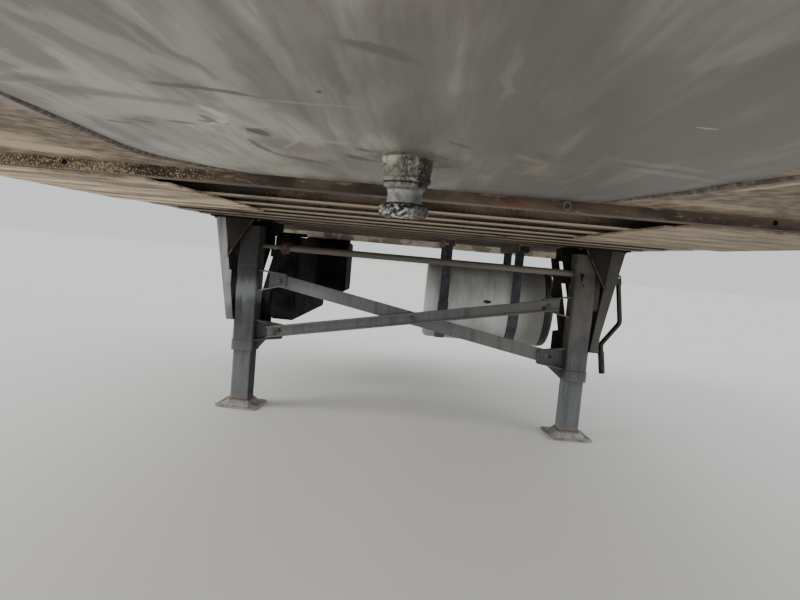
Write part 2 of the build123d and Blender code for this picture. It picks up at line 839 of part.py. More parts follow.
# Black boxes on the curb side, side by side
box_rows = {
    "side_box": (box_front_x, box_outer_y, box_inner_y, box_bottom_z),
    "aft_box": (box_aft_x + aft_box_length, box_inner_y + box_gap, aft_box_inner_y, aft_box_bottom_z),
}
for name, (front, outer_y, inner_y, bottom) in box_rows.items():
    with BuildPart() as box:
        with Locations(((front + box_aft_x) / 2, (outer_y + inner_y) / 2, (bottom + box_top_z) / 2)):
            Box(front - box_aft_x, inner_y - outer_y, box_top_z - bottom)
        fillet(box.edges().filter_by(Axis.X), box_corner)
    keep(name, box.part)

# Hangers: a strap beside the side box with an arm in to it, and pads under the rear beam
strap_x = crossmember_x(mount_crossmember + 3)
strap_outer_y = box_outer_y - box_hanger_reach
strap_inner_y = strap_outer_y + box_hanger_wall
beam_bottom_z = crossmember_bottom_z - beam_height
hanger_rows = (
    (strap_x, strap_outer_y, strap_inner_y, box_arm_bottom_z, crossmember_bottom_z),
    (strap_x, strap_inner_y, box_outer_y, box_arm_bottom_z, box_arm_top_z),
    (beam_x, box_outer_y + box_corner, box_inner_y - box_corner, box_top_z, beam_bottom_z),
    (beam_x, box_inner_y + box_corner, aft_box_inner_y - box_corner, box_top_z, beam_bottom_z),
)
with BuildPart() as box_hangers:
    for x, start_y, end_y, bottom_z, top_z in hanger_rows:
        with BuildSketch(Plane.XY.offset(bottom_z)):
            with Locations((x, (start_y + end_y) / 2)):
                Rectangle(box_hanger_depth, end_y - start_y)
        extrude(amount=top_z - bottom_z)
keep("box_hangers", box_hangers.part)
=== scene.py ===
import json
import math

import bpy
from mathutils import Matrix, Vector


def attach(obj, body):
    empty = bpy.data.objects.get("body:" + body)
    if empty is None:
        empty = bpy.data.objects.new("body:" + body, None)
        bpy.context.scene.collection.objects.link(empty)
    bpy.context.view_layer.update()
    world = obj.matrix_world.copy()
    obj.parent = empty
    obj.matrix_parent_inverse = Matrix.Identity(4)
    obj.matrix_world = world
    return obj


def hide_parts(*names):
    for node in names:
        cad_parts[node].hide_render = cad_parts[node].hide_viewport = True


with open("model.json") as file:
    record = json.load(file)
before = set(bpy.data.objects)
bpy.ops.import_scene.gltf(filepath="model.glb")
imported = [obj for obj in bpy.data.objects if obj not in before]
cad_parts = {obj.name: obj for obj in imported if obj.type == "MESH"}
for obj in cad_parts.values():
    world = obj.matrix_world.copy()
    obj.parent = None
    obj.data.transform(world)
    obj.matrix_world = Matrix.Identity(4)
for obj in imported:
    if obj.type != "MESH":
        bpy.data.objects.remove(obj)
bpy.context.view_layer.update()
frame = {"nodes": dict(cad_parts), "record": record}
bpy.ops.object.select_all(action="DESELECT")

# Sizes shared with the part's source, in metres
GROUND_Z = -1.107
LEG_X = -2.587
LEG_Y = 0.963
OUTER_TUBE = 0.127
TUBE_FRONT_X = LEG_X + OUTER_TUBE / 2
SHAFT_Z = -0.16
COUPLING_Y = -0.766
CRANK_PIN_Y = 1.162
PITCH = 0.3048
FIRST_CROSSMEMBER_X = -0.965
BOARD_PITCH = 0.3218
FIRST_BOARD_Y = -1.1258
TANK_X = -3.5406
TANK_Z = -0.44
TANK_RADIUS = 0.28
TANK_ENDS = (0.078, 0.975)
STRAP_YS = (0.206, 0.698)
COLLAR_RADIUS = 0.0365
NECK_RADIUS = 0.0254
TIP_RADIUS = 0.0357
NECK_Z = -0.035
TIP_Z = NECK_Z - 0.03
END_Z = TIP_Z - 0.019
BRACKET_FACE_X = LEG_X + 0.008
BRACE_FACE_X = LEG_X + 0.015
BRACE_BACK_X = LEG_X - 0.007

# Where the braces are bolted, as y and z
ROAD_TOP, ROAD_BOTTOM = (0.787, -0.357), (0.795, -0.653)
CURB_TOP, CURB_BOTTOM = (-0.787, -0.352), (-0.797, -0.657)
CROSSING = (0.006, -0.502)

# Camera, at the photograph's viewing angle
EYE = Vector((0.8745, 0.0343, -0.1387))
YAW, PITCH_DOWN, ROLL = (math.radians(a) for a in (1.79, 4.36, 5.11))
FOCAL_PIXELS = 595.6
IMAGE_WIDTH = 800
SENSOR_WIDTH = 36
forward = Vector((
    -math.cos(YAW) * math.cos(PITCH_DOWN),
    -math.sin(YAW) * math.cos(PITCH_DOWN),
    -math.sin(PITCH_DOWN),
))
level_right = forward.cross(Vector((0, 0, 1))).normalized()
level_up = level_right.cross(forward)
right = math.cos(ROLL) * level_right + math.sin(ROLL) * level_up
up = math.cos(ROLL) * level_up - math.sin(ROLL) * level_right
camera_data = bpy.data.cameras.new("camera")
camera_data.sensor_width = SENSOR_WIDTH
camera_data.lens = SENSOR_WIDTH * FOCAL_PIXELS / IMAGE_WIDTH
camera_data.clip_start = 0.01
camera_data.clip_end = 200
camera = bpy.data.objects.new("camera", camera_data)
camera.matrix_world = Matrix.Translation(EYE) @ Matrix((right, up, -forward)).transposed().to_4x4()
link = bpy.context.scene.collection.objects.link
link(camera)
bpy.context.scene.camera = camera


# Shader maths

class Wire:
    """A shader socket that Python expressions can use."""

    def __init__(self, tree, socket):
        self.tree = tree
        self.socket = socket

    def maths(self, operation, first, second=0.0):
        return self.tree.add("ShaderNodeMath", {"operation": operation}, {0: first, 1: second})

    def __add__(self, other):
        return self.maths("ADD", self, other)

    __radd__ = __add__

    def __sub__(self, other):
        return self.maths("SUBTRACT", self, other)

    def __rsub__(self, other):
        return self.maths("SUBTRACT", other, self)

    def __mul__(self, other):
        return self.maths("MULTIPLY", self, other)

    __rmul__ = __mul__

    def __abs__(self):
        return self.maths("ABSOLUTE", self)

    def root(self):
        return self.maths("SQRT", self)

    def above(self, limit):
        return self.maths("MAXIMUM", self, limit)

    def below(self, limit):
        return self.maths("MINIMUM", self, limit)

    def rise(self, low, high):
        """0 below low, 1 above high, smooth between."""
        return self.tree.add(
            "ShaderNodeMapRange", {"interpolation_type": "SMOOTHSTEP"},
            {"Value": self, "From Min": low, "From Max": high},
        )

    def fall(self, low, high):
        """1 below low, 0 above high, smooth between."""
        return 1 - self.rise(low, high)

    def window(self, start, full, last, end):
        """Rises from start to full, and falls from last to end."""
        return self.rise(start, full) * self.fall(last, end)


class Tree:
    """A node tree, built by calls."""

    def __init__(self, node_tree):
        self.nodes = node_tree.nodes
        self.links = node_tree.links

    def add(self, kind, settings=None, inputs=None, output=0):
        """A new node, its settings made first, then its sockets fed with values or wires."""
        node = self.nodes.new(kind)
        for name, value in (settings or {}).items():
            setattr(node, name, value)
        for name, value in (inputs or {}).items():
            self.feed(node.inputs[name], value)
        return Wire(self, node.outputs[output])

    def feed(self, socket, value):
        if isinstance(value, Wire):
            self.links.new(value.socket, socket)
        else:
            socket.default_value = value


def tone(red, green, blue):
    """A colour as it looks on a screen, 0 to 255, in the linear values that a shader takes."""
    linear = []
    for part in (red, green, blue):
        share = part / 255
        linear.append(share / 12.92 if share <= 0.04045 else ((share + 0.055) / 1.055) ** 2.4)
    return (*linear, 1.0)


class Coat(Tree):
    """One material: a base of two tones, then more tones painted over it."""

    def __init__(self, name):
        self.material = bpy.data.materials.new(name)
        self.material.use_nodes = True
        super().__init__(self.material.node_tree)
        self.shader = self.nodes["Principled BSDF"]
        self.place = self.add("ShaderNodeTexCoord", output="Object")
        self.colour = None

    def split(self, vector, letters):
        node = self.nodes.new("ShaderNodeSeparateXYZ")
        self.feed(node.inputs[0], vector)
        return [Wire(self, node.outputs[letter]) for letter in letters]

    def axes(self, letters):
        """The place along the axes that are named."""
        return self.split(self.place, letters)

    def facing(self, letters):
        """How far the surface faces along the axes that are named."""
        return self.split(self.add("ShaderNodeNewGeometry", output="Normal"), letters)

    def noise(self, scale, detail, stretch=(1, 1, 1), offset=(0, 0, 0), twist=0.0):
        where = self.add(
            "ShaderNodeMapping", {}, {"Vector": self.place, "Location": offset, "Scale": stretch}
        )
        return self.add(
            "ShaderNodeTexNoise", {},
            {"Vector": where, "Scale": scale, "Detail": detail, "Roughness": 0.55, "Distortion": twist},
        )

    def mix(self, first, second, share):
        return self.add(
            "ShaderNodeMix", {"data_type": "RGBA"}, {0: share, 6: first, 7: second}, output=2
        )

    def base(self, first, second, share):
        self.colour = self.mix(tone(*first), tone(*second), share)

    def paint(self, shade, share):
        self.colour = self.mix(self.colour, tone(*shade), share)

    def surface(self, roughness, height=None, depth=0.001, metallic=0.0, lacquer=0.0, gloss=0.5):
        """Feed the shader; height is in 0 to 1, and depth is its size in metres."""
        self.feed(self.shader.inputs["Base Color"], self.colour)
        self.feed(self.shader.inputs["Roughness"], roughness)
        self.feed(self.shader.inputs["Metallic"], metallic)
        self.feed(self.shader.inputs["Coat Weight"], lacquer)
        self.shader.inputs["Specular IOR Level"].default_value = gloss
        if height is not None:
            bump = self.add("ShaderNodeBump", {}, {"Height": height, "Distance": depth, "Strength": 0.8})
            self.feed(self.shader.inputs["Normal"], bump)
        return self.material


# Finishes

# Marks in the grease, dragged by fifth wheels: middle x and y, half length and half width in
# millimetres, turn in degrees, colour, and share in percent
pale, paler, dark, darker = (158, 154, 146), (170, 167, 160), (92, 88, 82), (72, 68, 62)
sandy, rusty, muddy = (206, 184, 152), (104, 62, 40), (104, 90, 74)
bright, brightest, brown, ochre = (172, 169, 153), (196, 193, 176), (126, 115, 103), (148, 134, 112)
PLATE_MARKS = (
    (400, -203, 110, 20, 158, pale, 70),
    (388, -149, 170, 20, 11, pale, 60),
    (430, -235, 90, 14, 166, pale, 60),
    (440, -175, 120, 8, 170, dark, 55),
    (420, -90, 100, 10, 6, pale, 35),
    (390, -50, 110, 8, 2, dark, 35),
    (190, -335, 120, 55, 62, paler, 70),
    (165, -250, 100, 45, 102, paler, 65),
    (316, -330, 18, 45, 4, paler, 85),
    (290, -395, 16, 60, 0, dark, 55),
    (400, -300, 110, 28, 12, dark, 70),
    (250, -290, 22, 110, 8, dark, 50),
    (302, -180, 75, 10, 105, darker, 80),
    (285, -110, 90, 6, 95, pale, 45),
    (30, -172, 140, 55, 155, paler, 50),
    (450, -10, 45, 10, 122, dark, 85),
    (50, 182, 120, 40, 12, dark, 45),
    (413, 88, 80, 6, 0, pale, 25),
    (495, 210, 50, 16, 22, pale, 15),
    (312, 280, 3, 12, 8, sandy, 60),
    (110, 320, 16, 90, 16, pale, 20),
    (50, 360, 16, 100, 20, pale, 22),
    (80, 340, 8, 90, 18, darker, 35),
    (105, -373, 9, 24, 10, darker, 75),
    (118, -338, 7, 22, 12, darker, 75),
    (133, -280, 9, 26, 12, darker, 80),
    (150, -234, 8, 22, 12, darker, 75),
    (116, -188, 19, 36, 68, darker, 92),
    (-8, -213, 88, 9, 173, dark, 86),
    (-100, -174, 61, 17, 135, darker, 63),
    (16, -165, 96, 55, 156, brown, 80),
    (74, -218, 78, 6, 15, bright, 69),
    (149, -176, 31, 9, 59, bright, 69),
    (51, -157, 72, 6, 21, bright, 63),
    (104, -127, 21, 11, 61, bright, 63),
    (-177, -302, 86, 138, 130, bright, 52),
    (-257, -219, 69, 88, 91, bright, 40),
    (206, -212, 46, 11, 175, brightest, 92),
    (152, -226, 42, 7, 42, brightest, 86),
    (166, -233, 26, 7, 172, dark, 75),
    (254, -161, 42, 24, 59, bright, 52),
    (-38, -69, 39, 18, 142, darker, 80),
    (40, -60, 17, 13, 144, darker, 69),
    (81, -96, 25, 18, 88, bright, 40),
    (73, 170, 48, 15, 144, ochre, 50),
    (-1, 183, 58, 15, 10, ochre, 50),
    (113, 179, 29, 6, 143, dark, 75),
    (-76, 188, 38, 18, 79, dark, 63),
    (85, 205, 35, 6, 138, dark, 57),
    (135, 68, 31, 9, 143, darker, 69),
    (-48, 49, 26, 12, 37, darker, 80),
    (165, 253, 16, 19, 93, dark, 52),
    (330, -78, 6, 4, 0, rusty, 90),
    (-225, -715, 90, 150, 20, sandy, 85),
    (-100, -690, 70, 90, 30, sandy, 60),
    (0, -600, 50, 80, 60, muddy, 60),
    (20, 505, 110, 10, 10, sandy, 60),
    (-240, 560, 50, 120, 10, sandy, 35),
)
MARK_WARP = 0.036


def greased_plate():
    """Grey grease dragged fore and aft by fifth wheels, with dusty brown steel outside its track."""
    coat = Coat("greased_steel")
    x, y = coat.axes("XY")
    wobble = coat.noise(7, 3) * 0.03 - 0.015
    narrowing = (x * -1 - 0.15).above(0) * 0.45 - (x - 0.22).above(0) * 0.5
    side = abs(y + 0.01) + wobble + narrowing
    outside = side.rise(0.46, 0.474)
    drags = coat.noise(15, 4, (0.16, 1, 1), twist=0.35)
    fine_drags = coat.noise(85, 3, (0.08, 1, 1))
    clouds = coat.noise(3.6, 5, (0.55, 1, 1), twist=0.8)
    grain = coat.noise(420, 4)
    swirls = drags * 0.6 + clouds * 0.4
    # Darker towards the road side, with the pale swirls fading there: partly the grease's own tone,
    # partly painted shade, as light falls from the curb side.
    road_side = y.rise(-0.42, 0.34)
    coat.base((152, 148, 139), (95, 90, 84), road_side)
    coat.paint((186, 183, 172), swirls.rise(0.49, 0.58) * (1 - road_side * 0.82) * 0.7)
    coat.paint((84, 80, 74), swirls.fall(0.42, 0.5) * (1 - road_side * 0.5) * 0.55)
    coat.paint((84, 78, 70), fine_drags.rise(0.5, 0.62) * 0.22)
    coat.paint((104, 94, 80), side.rise(0.4, 0.47) * (1 - outside) * 0.4)
    near_pin = ((x * x + y * y).root() + clouds * 0.06).fall(0.06, 0.13)
    mottle = coat.noise(60, 6, twist=1.2).rise(0.45, 0.6)
    coat.paint((58, 54, 49), near_pin * (0.25 + mottle * 0.55))
    grease = coat.colour
    coat.base((100, 88, 73), (158, 140, 117), coat.noise(34, 7).rise(0.36, 0.66))
    # Steel darker towards the road side: partly its own tone, partly painted shade.
    coat.paint((92, 82, 69), y.rise(0.3, 0.8) * 0.45)
    sand = coat.noise(6, 5).rise(0.5, 0.62) * abs(y).rise(0.55, 0.95)
    coat.paint((194, 172, 142), sand * grain.rise(0.35, 0.6))
    coat.paint((92, 62, 42), coat.noise(17, 6, offset=(3, 1, 0)).rise(0.62, 0.7) * 0.5)
    coat.colour = coat.mix(grease, coat.colour, outside)
    warp = coat.add(
        "ShaderNodeTexNoise", {}, {"Vector": coat.place, "Scale": 14.0, "Detail": 3.0}, output="Color"
    )
    warped = coat.add(
        "ShaderNodeVectorMath", {"operation": "MULTIPLY_ADD"},
        {0: warp, 1: (MARK_WARP, MARK_WARP, 0.0), 2: coat.place},
    )
    ragged = fine_drags * 0.7 + grain * 0.4
    for middle_x, middle_y, long, wide, turn, shade, share in PLATE_MARKS:
        reach = coat.add(
            "ShaderNodeMapping", {"vector_type": "TEXTURE"},
            {
                "Vector": warped,
                "Location": (middle_x / 1000 + MARK_WARP / 2, middle_y / 1000 + MARK_WARP / 2, 0),
                "Rotation": (0, 0, math.radians(turn)),
                "Scale": (long / 1000, wide / 1000, 1),
            },
        )
        away = coat.add("ShaderNodeVectorMath", {"operation": "LENGTH"}, {0: reach}, output="Value")
        coat.paint(shade, (away + ragged).fall(1.0, 1.6) * (share / 100))
    roughness = 0.46 + drags * 0.14 + outside * 0.28
    height = drags * 0.3 + fine_drags * 0.15 + outside * grain * 0.35 + near_pin * mottle * 0.5
    return coat.surface(roughness, height, 0.0014)


def frame_steel():
    """Frame steel under tan road dust, with rust in its blotches, painted shade on its undersides,
    deepest far aft, and pale flange edges, partly worn bare, partly painted highlight.
    """
    coat = Coat("underframe_steel")
    x, z = coat.axes("XZ")
    patches = coat.noise(11, 6, (1, 0.35, 1))
    fine = coat.noise(140, 5)
    grain = coat.noise(520, 3)
    from_web = coat.add(
        "ShaderNodeMath", {"operation": "PINGPONG"}, {0: x - FIRST_CROSSMEMBER_X, 1: PITCH / 2}
    )
    far_aft = x.fall(-3.0, -1.2)
    underside = z.fall(0.0, 0.004)
    coat.base((66, 57, 49), (128, 114, 98), (patches * 0.7 + fine * 0.3).rise(0.4, 0.6))
    coat.paint((96, 60, 40), coat.noise(19, 7, offset=(2, 5, 1)).rise(0.56, 0.66) * 0.4)
    # Painted shade on the undersides, deepest far aft.
    coat.paint((40, 33, 28), underside * (far_aft * 0.45 + 0.3))
    # Pale flange edges: partly worn bare, partly painted highlight, dimmed far aft as painted shade.
    worn_and_lit_edges = from_web.window(0.0205, 0.0245, 0.027, 0.03) * underside * patches.rise(0.25, 0.45)
    coat.paint((208, 192, 170), worn_and_lit_edges * (1 - far_aft * 0.7) * 0.9)
    return coat.surface(0.62 + patches * 0.3, fine * 0.4 + grain * 0.3 + patches * 0.3, 0.0012)


def dusty_panels():
    """Gusset panels: brown steel under pale sand, paler towards the curb side."""
    coat = Coat("dusty_panel")
    [y] = coat.axes("Y")
    drifts = coat.noise(4.5, 6, (1.6, 0.5, 1), twist=0.4)
    grain = coat.noise(360, 4)
    patches = coat.noise(17, 7, (1, 0.5, 1))
    coat.base((108, 95, 80), (150, 133, 113), patches.rise(0.35, 0.62))
    thick = (drifts * 0.7 + grain * 0.3).rise(0.44, 0.6)
    coat.paint((216, 192, 162), thick * (1 - y.rise(-0.2, 0.8) * 0.5))
    coat.paint((238, 214, 182), thick * y.fall(-0.95, -0.35) * 0.8)
    coat.paint((84, 66, 52), coat.noise(23, 7, offset=(2, 5, 1)).rise(0.58, 0.68) * 0.5)
    return coat.surface(0.8, grain * 0.6 + drifts * 0.4, 0.0012)


def strip_steel():
    """Dark brown steel with a red-brown stain, and sand thrown up on its curb-side end."""
    coat = Coat("strip_steel")
    [y] = coat.axes("Y")
    cloud = coat.noise(16, 6, (1, 0.4, 1))
    grit = coat.noise(330, 3)
    coat.base((54, 45, 38), (112, 96, 80), cloud.rise(0.36, 0.68))
    coat.paint((158, 142, 122), coat.noise(90, 5, (1, 0.25, 1)).rise(0.6, 0.68) * 0.5)
    stain = y.window(0.16, 0.176, 0.222, 0.24) * (grit * 0.5 + cloud * 0.5).rise(0.45, 0.55)
    coat.paint((132, 82, 64), stain * 0.7)
    thrown = y.fall(-0.5, -0.36) * (grit + cloud * 0.3).rise(0.68, 0.76)
    coat.paint((206, 184, 150), thrown * 0.9)
    return coat.surface(0.66 + cloud * 0.2, grit * 0.6 + cloud * 0.4, 0.001)


def gear_paint(name, low, middle, high, dust_and_highlight_share=0.5, gloss=0.4, shade_share=0.0):
    """Paint in one tone each for low, middle and high up, with painted shade on its inward faces
    and high on the curb side, a painted highlight on the curb-side leg, a dark patch, dust and scuffs."""
    coat = Coat(name)
    y, z = coat.axes("YZ")
    outward, upward = coat.facing("YZ")
    runs = coat.noise(26, 6, (1, 1, 0.12))
    cloud = coat.noise(7, 5)
    fine = coat.noise(210, 4)
    height = z + runs * 0.1 - 0.05
    coat.base(low, middle, height.rise(-0.83, -0.68))
    coat.paint(high, height.rise(-0.46, -0.26))
    coat.paint((20, 19, 18), runs.fall(0.3, 0.5) * 0.35)
    dust = (cloud * 0.55 + runs * 0.45).rise(0.46, 0.66) * dust_and_highlight_share
    coat.paint((138, 134, 128), dust * height.fall(-0.5, -0.3) * 0.5)
    curb_side = y.fall(-0.6, -0.4)
    # Painted shade: faces turned inward are darkened and made rougher, low down and on the curb side.
    inward = (outward * y * -1).rise(0.25, 0.75) * (z.rise(-0.8, -0.7) + curb_side).below(1)
    coat.paint((30, 29, 29), inward * 0.85)
    coat.paint((146, 134, 118), upward.rise(0.5, 0.95) * dust_and_highlight_share)
    # Painted highlight: a pale bluish band part way up the curb-side leg.
    painted_highlight = curb_side * height.window(-0.5, -0.44, -0.42, -0.34)
    coat.paint((138, 142, 145), painted_highlight * dust_and_highlight_share)
    # A dark patch on the curb-side leg's front.
    dark_patch = y.window(-1.1, -1.05, -0.99, -0.94) * height.window(-0.64, -0.6, -0.54, -0.47)
    coat.paint((24, 26, 29), dark_patch * dust_and_highlight_share)
    # Painted shade on the upper part of the curb side.
    coat.paint((22, 20, 18), curb_side * height.rise(-0.4, -0.28) * shade_share)
    road_dust = y.rise(0.4, 0.6) * height.rise(-0.75, -0.4) * cloud.rise(0.3, 0.6)
    coat.paint((112, 106, 94), road_dust * dust_and_highlight_share)
    coat.paint((164, 163, 158), fine.rise(0.5, 0.64) * dust_and_highlight_share * 0.34)
    scuffs = coat.noise(48, 8, (1, 1, 0.5), offset=(4, 4, 4)).rise(0.66, 0.7)
    coat.paint((112, 78, 58), scuffs * 0.5)
    foot_dirt = (z + cloud * 0.05).fall(GROUND_Z + 0.03, GROUND_Z + 0.1)
    coat.paint((150, 134, 116), foot_dirt * 0.5)
    roughness = (0.36 + cloud * 0.3 + inward * 0.4).below(0.95)
    return coat.surface(roughness, fine * 0.4 + runs * 0.35 + scuffs * -0.4, 0.0007, gloss=gloss)


def foot_paint():
    """Pale dust over grey paint, with brown dirt round the tube and a pale lower edge."""
    coat = Coat("foot_steel")
    [z] = coat.axes("Z")
    cloud = coat.noise(17, 6)
    grit = coat.noise(300, 4)
    coat.base((98, 97, 97), (150, 146, 141), cloud.rise(0.35, 0.62))
    coat.paint((104, 82, 64), z.rise(GROUND_Z + 0.029, GROUND_Z + 0.039) * 0.6)
    coat.paint((96, 82, 68), coat.noise(42, 7).rise(0.58, 0.66) * 0.5)
    coat.paint((190, 184, 174), z.fall(GROUND_Z + 0.003, GROUND_Z + 0.007) * 0.5)
    return coat.surface(0.6 + cloud * 0.25, grit * 0.6 + cloud * 0.4, 0.001)


def gusset_shaded_paint():
    """Dark brown on the gusset's web, partly paint, partly painted shade of its recess, and paler
    along its forward lip, partly dust, partly a painted highlight.
    """
    coat = Coat("gusset_shaded_paint")
    [x] = coat.axes("X")
    cloud = coat.noise(20, 6)
    lip = x.rise(LEG_X + 0.085, LEG_X + 0.091)
    # Painted shade: the web's dark brown stands partly for the shade of its recess.
    coat.base((32, 28, 25), (52, 45, 39), cloud)
    # Painted highlight and dust on the forward lip.
    coat.paint((104, 94, 84), lip * cloud.rise(0.35, 0.6) * 0.6)
    return coat.surface(0.5 + cloud * 0.3, cloud, 0.0007, gloss=0.25)


def shaft_steel():
    """Bare grey-brown shafting, paler to the road side, rusty round its coupling."""
    coat = Coat("shaft_steel")
    [y] = coat.axes("Y")
    along = coat.noise(30, 5, (1, 0.15, 1))
    coat.base((88, 82, 75), (122, 116, 108), along)
    coat.paint((140, 134, 126), y.rise(0.1, 0.7) * 0.6)
    rust = (abs(y - COUPLING_Y) + along * 0.03).fall(0.03, 0.06)
    rust = (rust + coat.noise(24, 7).rise(0.6, 0.7) * 0.5).below(1)
    coat.paint((88, 62, 46), rust * 0.8)
    return coat.surface(0.5 + along * 0.2, along, 0.0006, metallic=0.2)


def brushed_tank():
    """Dull aluminium, brushed round the tank, with water marks and dust, darker towards the bottom,
    a painted highlight at its curb-side end, and painted shade towards its road-side end, black at its
    rim.
    """
    coat = Coat("tank_aluminium")
    y, z = coat.axes("YZ")
    [upward] = coat.facing("Z")
    brushing = coat.noise(150, 4, (0.06, 1, 0.06))
    marks = coat.noise(5, 4, (0.7, 1, 0.35))
    fine = coat.noise(300, 3)
    bright_share = (marks * 0.75 + brushing * 0.25).rise(0.38, 0.62)
    coat.base((196, 199, 197), (236, 239, 237), bright_share)
    coat.paint((168, 160, 146), coat.noise(34, 6, offset=(1, 2, 3)).rise(0.62, 0.72) * 0.5)
    # Painted highlight at the curb-side end.
    coat.paint((252, 253, 252), y.fall(0.1, 0.26) * 0.7)
    # Painted shade towards the road-side end.
    coat.paint((112, 110, 106), y.rise(0.6, 0.86) * 0.85)
    coat.paint((158, 149, 134), upward.rise(0.6, 0.98) * 0.6)
    # Darker towards the bottom.
    coat.paint((126, 125, 121), (z + marks * 0.1).fall(-0.66, -0.42) * 0.75)
    # Painted shade: the road-side rim black.
    coat.paint((12, 12, 13), y.rise(0.906, 0.912))
    return coat.surface(0.4 + marks * 0.2, brushing * 0.7 + fine * 0.3, 0.0003, metallic=0.1)


def black_panels():
    """Black paint with a thin film of dust on its ledges."""
    coat = Coat("black_box")
    [upward] = coat.facing("Z")
    cloud = coat.noise(6, 6)
    coat.base((12, 12, 13), (38, 37, 39), cloud.rise(0.35, 0.65))
    coat.paint((84, 78, 70), upward.rise(0.4, 0.9) * 0.6)
    coat.paint((60, 55, 50), coat.noise(38, 8, (0.3, 1, 1)).rise(0.68, 0.71) * 0.3)
    return coat.surface(0.75 + cloud * 0.3, coat.noise(240, 4), 0.0005, gloss=0.06)


def glossy_black():
    """Glossy black enamel on the crank, chipped to bare steel in places."""
    coat = Coat("crank_black")
    chips = coat.noise(70, 7).rise(0.68, 0.71)
    cloud = coat.noise(16, 4)
    coat.base((8, 8, 9), (20, 20, 21), cloud)
    coat.paint((96, 88, 80), chips * 0.5)
    roughness = 0.2 + cloud * 0.14 + chips * 0.4
    return coat.surface(roughness, coat.noise(90, 3), 0.0004, lacquer=0.15, gloss=0.4)


def worn_steel():
    """Turned steel with oil and a little rust."""
    coat = Coat("bright_steel")
    marks = coat.noise(45, 6)
    turned_lines = coat.noise(420, 2, (0.1, 1, 0.1))
    coat.base((96, 94, 92), (160, 158, 154), marks.rise(0.35, 0.6))
    coat.paint((104, 66, 42), coat.noise(30, 7).rise(0.58, 0.68) * 0.6)
    return coat.surface(0.3 + marks * 0.3, turned_lines, 0.0004, metallic=0.6)


def rusted_fasteners(name, steel, rust):
    """Bolt heads and welds, mottled with rust or dirt."""
    coat = Coat(name)
    marks = coat.noise(90, 6)
    coat.base(steel, rust, marks.rise(0.42, 0.62))
    return coat.surface(0.5 + marks * 0.3, coat.noise(700, 3), 0.0005, metallic=0.15)


def rail_aluminium():
    """Weathered extruded aluminium with grime along its lower edge."""
    coat = Coat("rail_aluminium")
    [z] = coat.axes("Z")
    length_lines = coat.noise(60, 4, (0.05, 1, 1))
    cloud = coat.noise(3, 6, (0.4, 1, 1))
    bright_share = (cloud * 0.6 + length_lines * 0.4).rise(0.35, 0.65)
    coat.base((168, 171, 172), (204, 206, 206), bright_share)
    coat.paint((120, 110, 98), (z + cloud * 0.06).fall(0.0, 0.08) * 0.6)
    return coat.surface(0.42 + cloud * 0.2, length_lines, 0.0005, metallic=0.3)


def pale_and_lit_beam():
    """Pale cream with brown stains and grime: partly the beam's paint, partly painted light where
    daylight falls on it.
    """
    coat = Coat("light_beam")
    cloud = coat.noise(9, 6, (1, 0.4, 1))
    coat.base((206, 192, 168), (238, 230, 212), cloud.rise(0.35, 0.6))
    coat.paint((140, 114, 88), coat.noise(22, 7, offset=(1, 1, 5)).rise(0.6, 0.7) * 0.5)
    coat.paint((104, 88, 74), coat.noise(7, 6, offset=(2, 0, 3)).rise(0.46, 0.58) * 0.6)
    return coat.surface(0.55 + cloud * 0.2, coat.noise(200, 4), 0.0006)


def deck_boards():
    """Dull oak boards with grain along X, each board in a shade of its own."""
    coat = Coat("oak")
    [y] = coat.axes("Y")
    board = coat.add("ShaderNodeMath", {"operation": "FLOOR"}, {0: y * (1 / BOARD_PITCH) + 4})
    shade = coat.add("ShaderNodeTexWhiteNoise", {"noise_dimensions": "1D"}, {"W": board})
    grain = coat.noise(26, 7, (0.05, 1, 1), twist=0.8)
    pores = coat.noise(260, 4, (0.03, 1, 1))
    coat.base((98, 76, 54), (152, 122, 88), grain.rise(0.35, 0.65))
    coat.paint((66, 50, 36), pores.rise(0.55, 0.68) * 0.6)
    coat.paint((134, 122, 106), shade * 0.35 + coat.noise(5, 5) * 0.3)
    return coat.surface(0.6 + grain * 0.25, pores * 0.6 + grain * 0.4, 0.0009)


def dark_strap():
    """Blue-grey painted strap steel, rubbed bright in places."""
    coat = Coat("strap_steel")
    cloud = coat.noise(14, 5)
    coat.base((52, 56, 60), (78, 82, 86), cloud.rise(0.35, 0.65))
    coat.paint((122, 118, 110), coat.noise(40, 7).rise(0.6, 0.68) * 0.45)
    return coat.surface(0.5 + cloud * 0.2, coat.noise(260, 4), 0.0005)


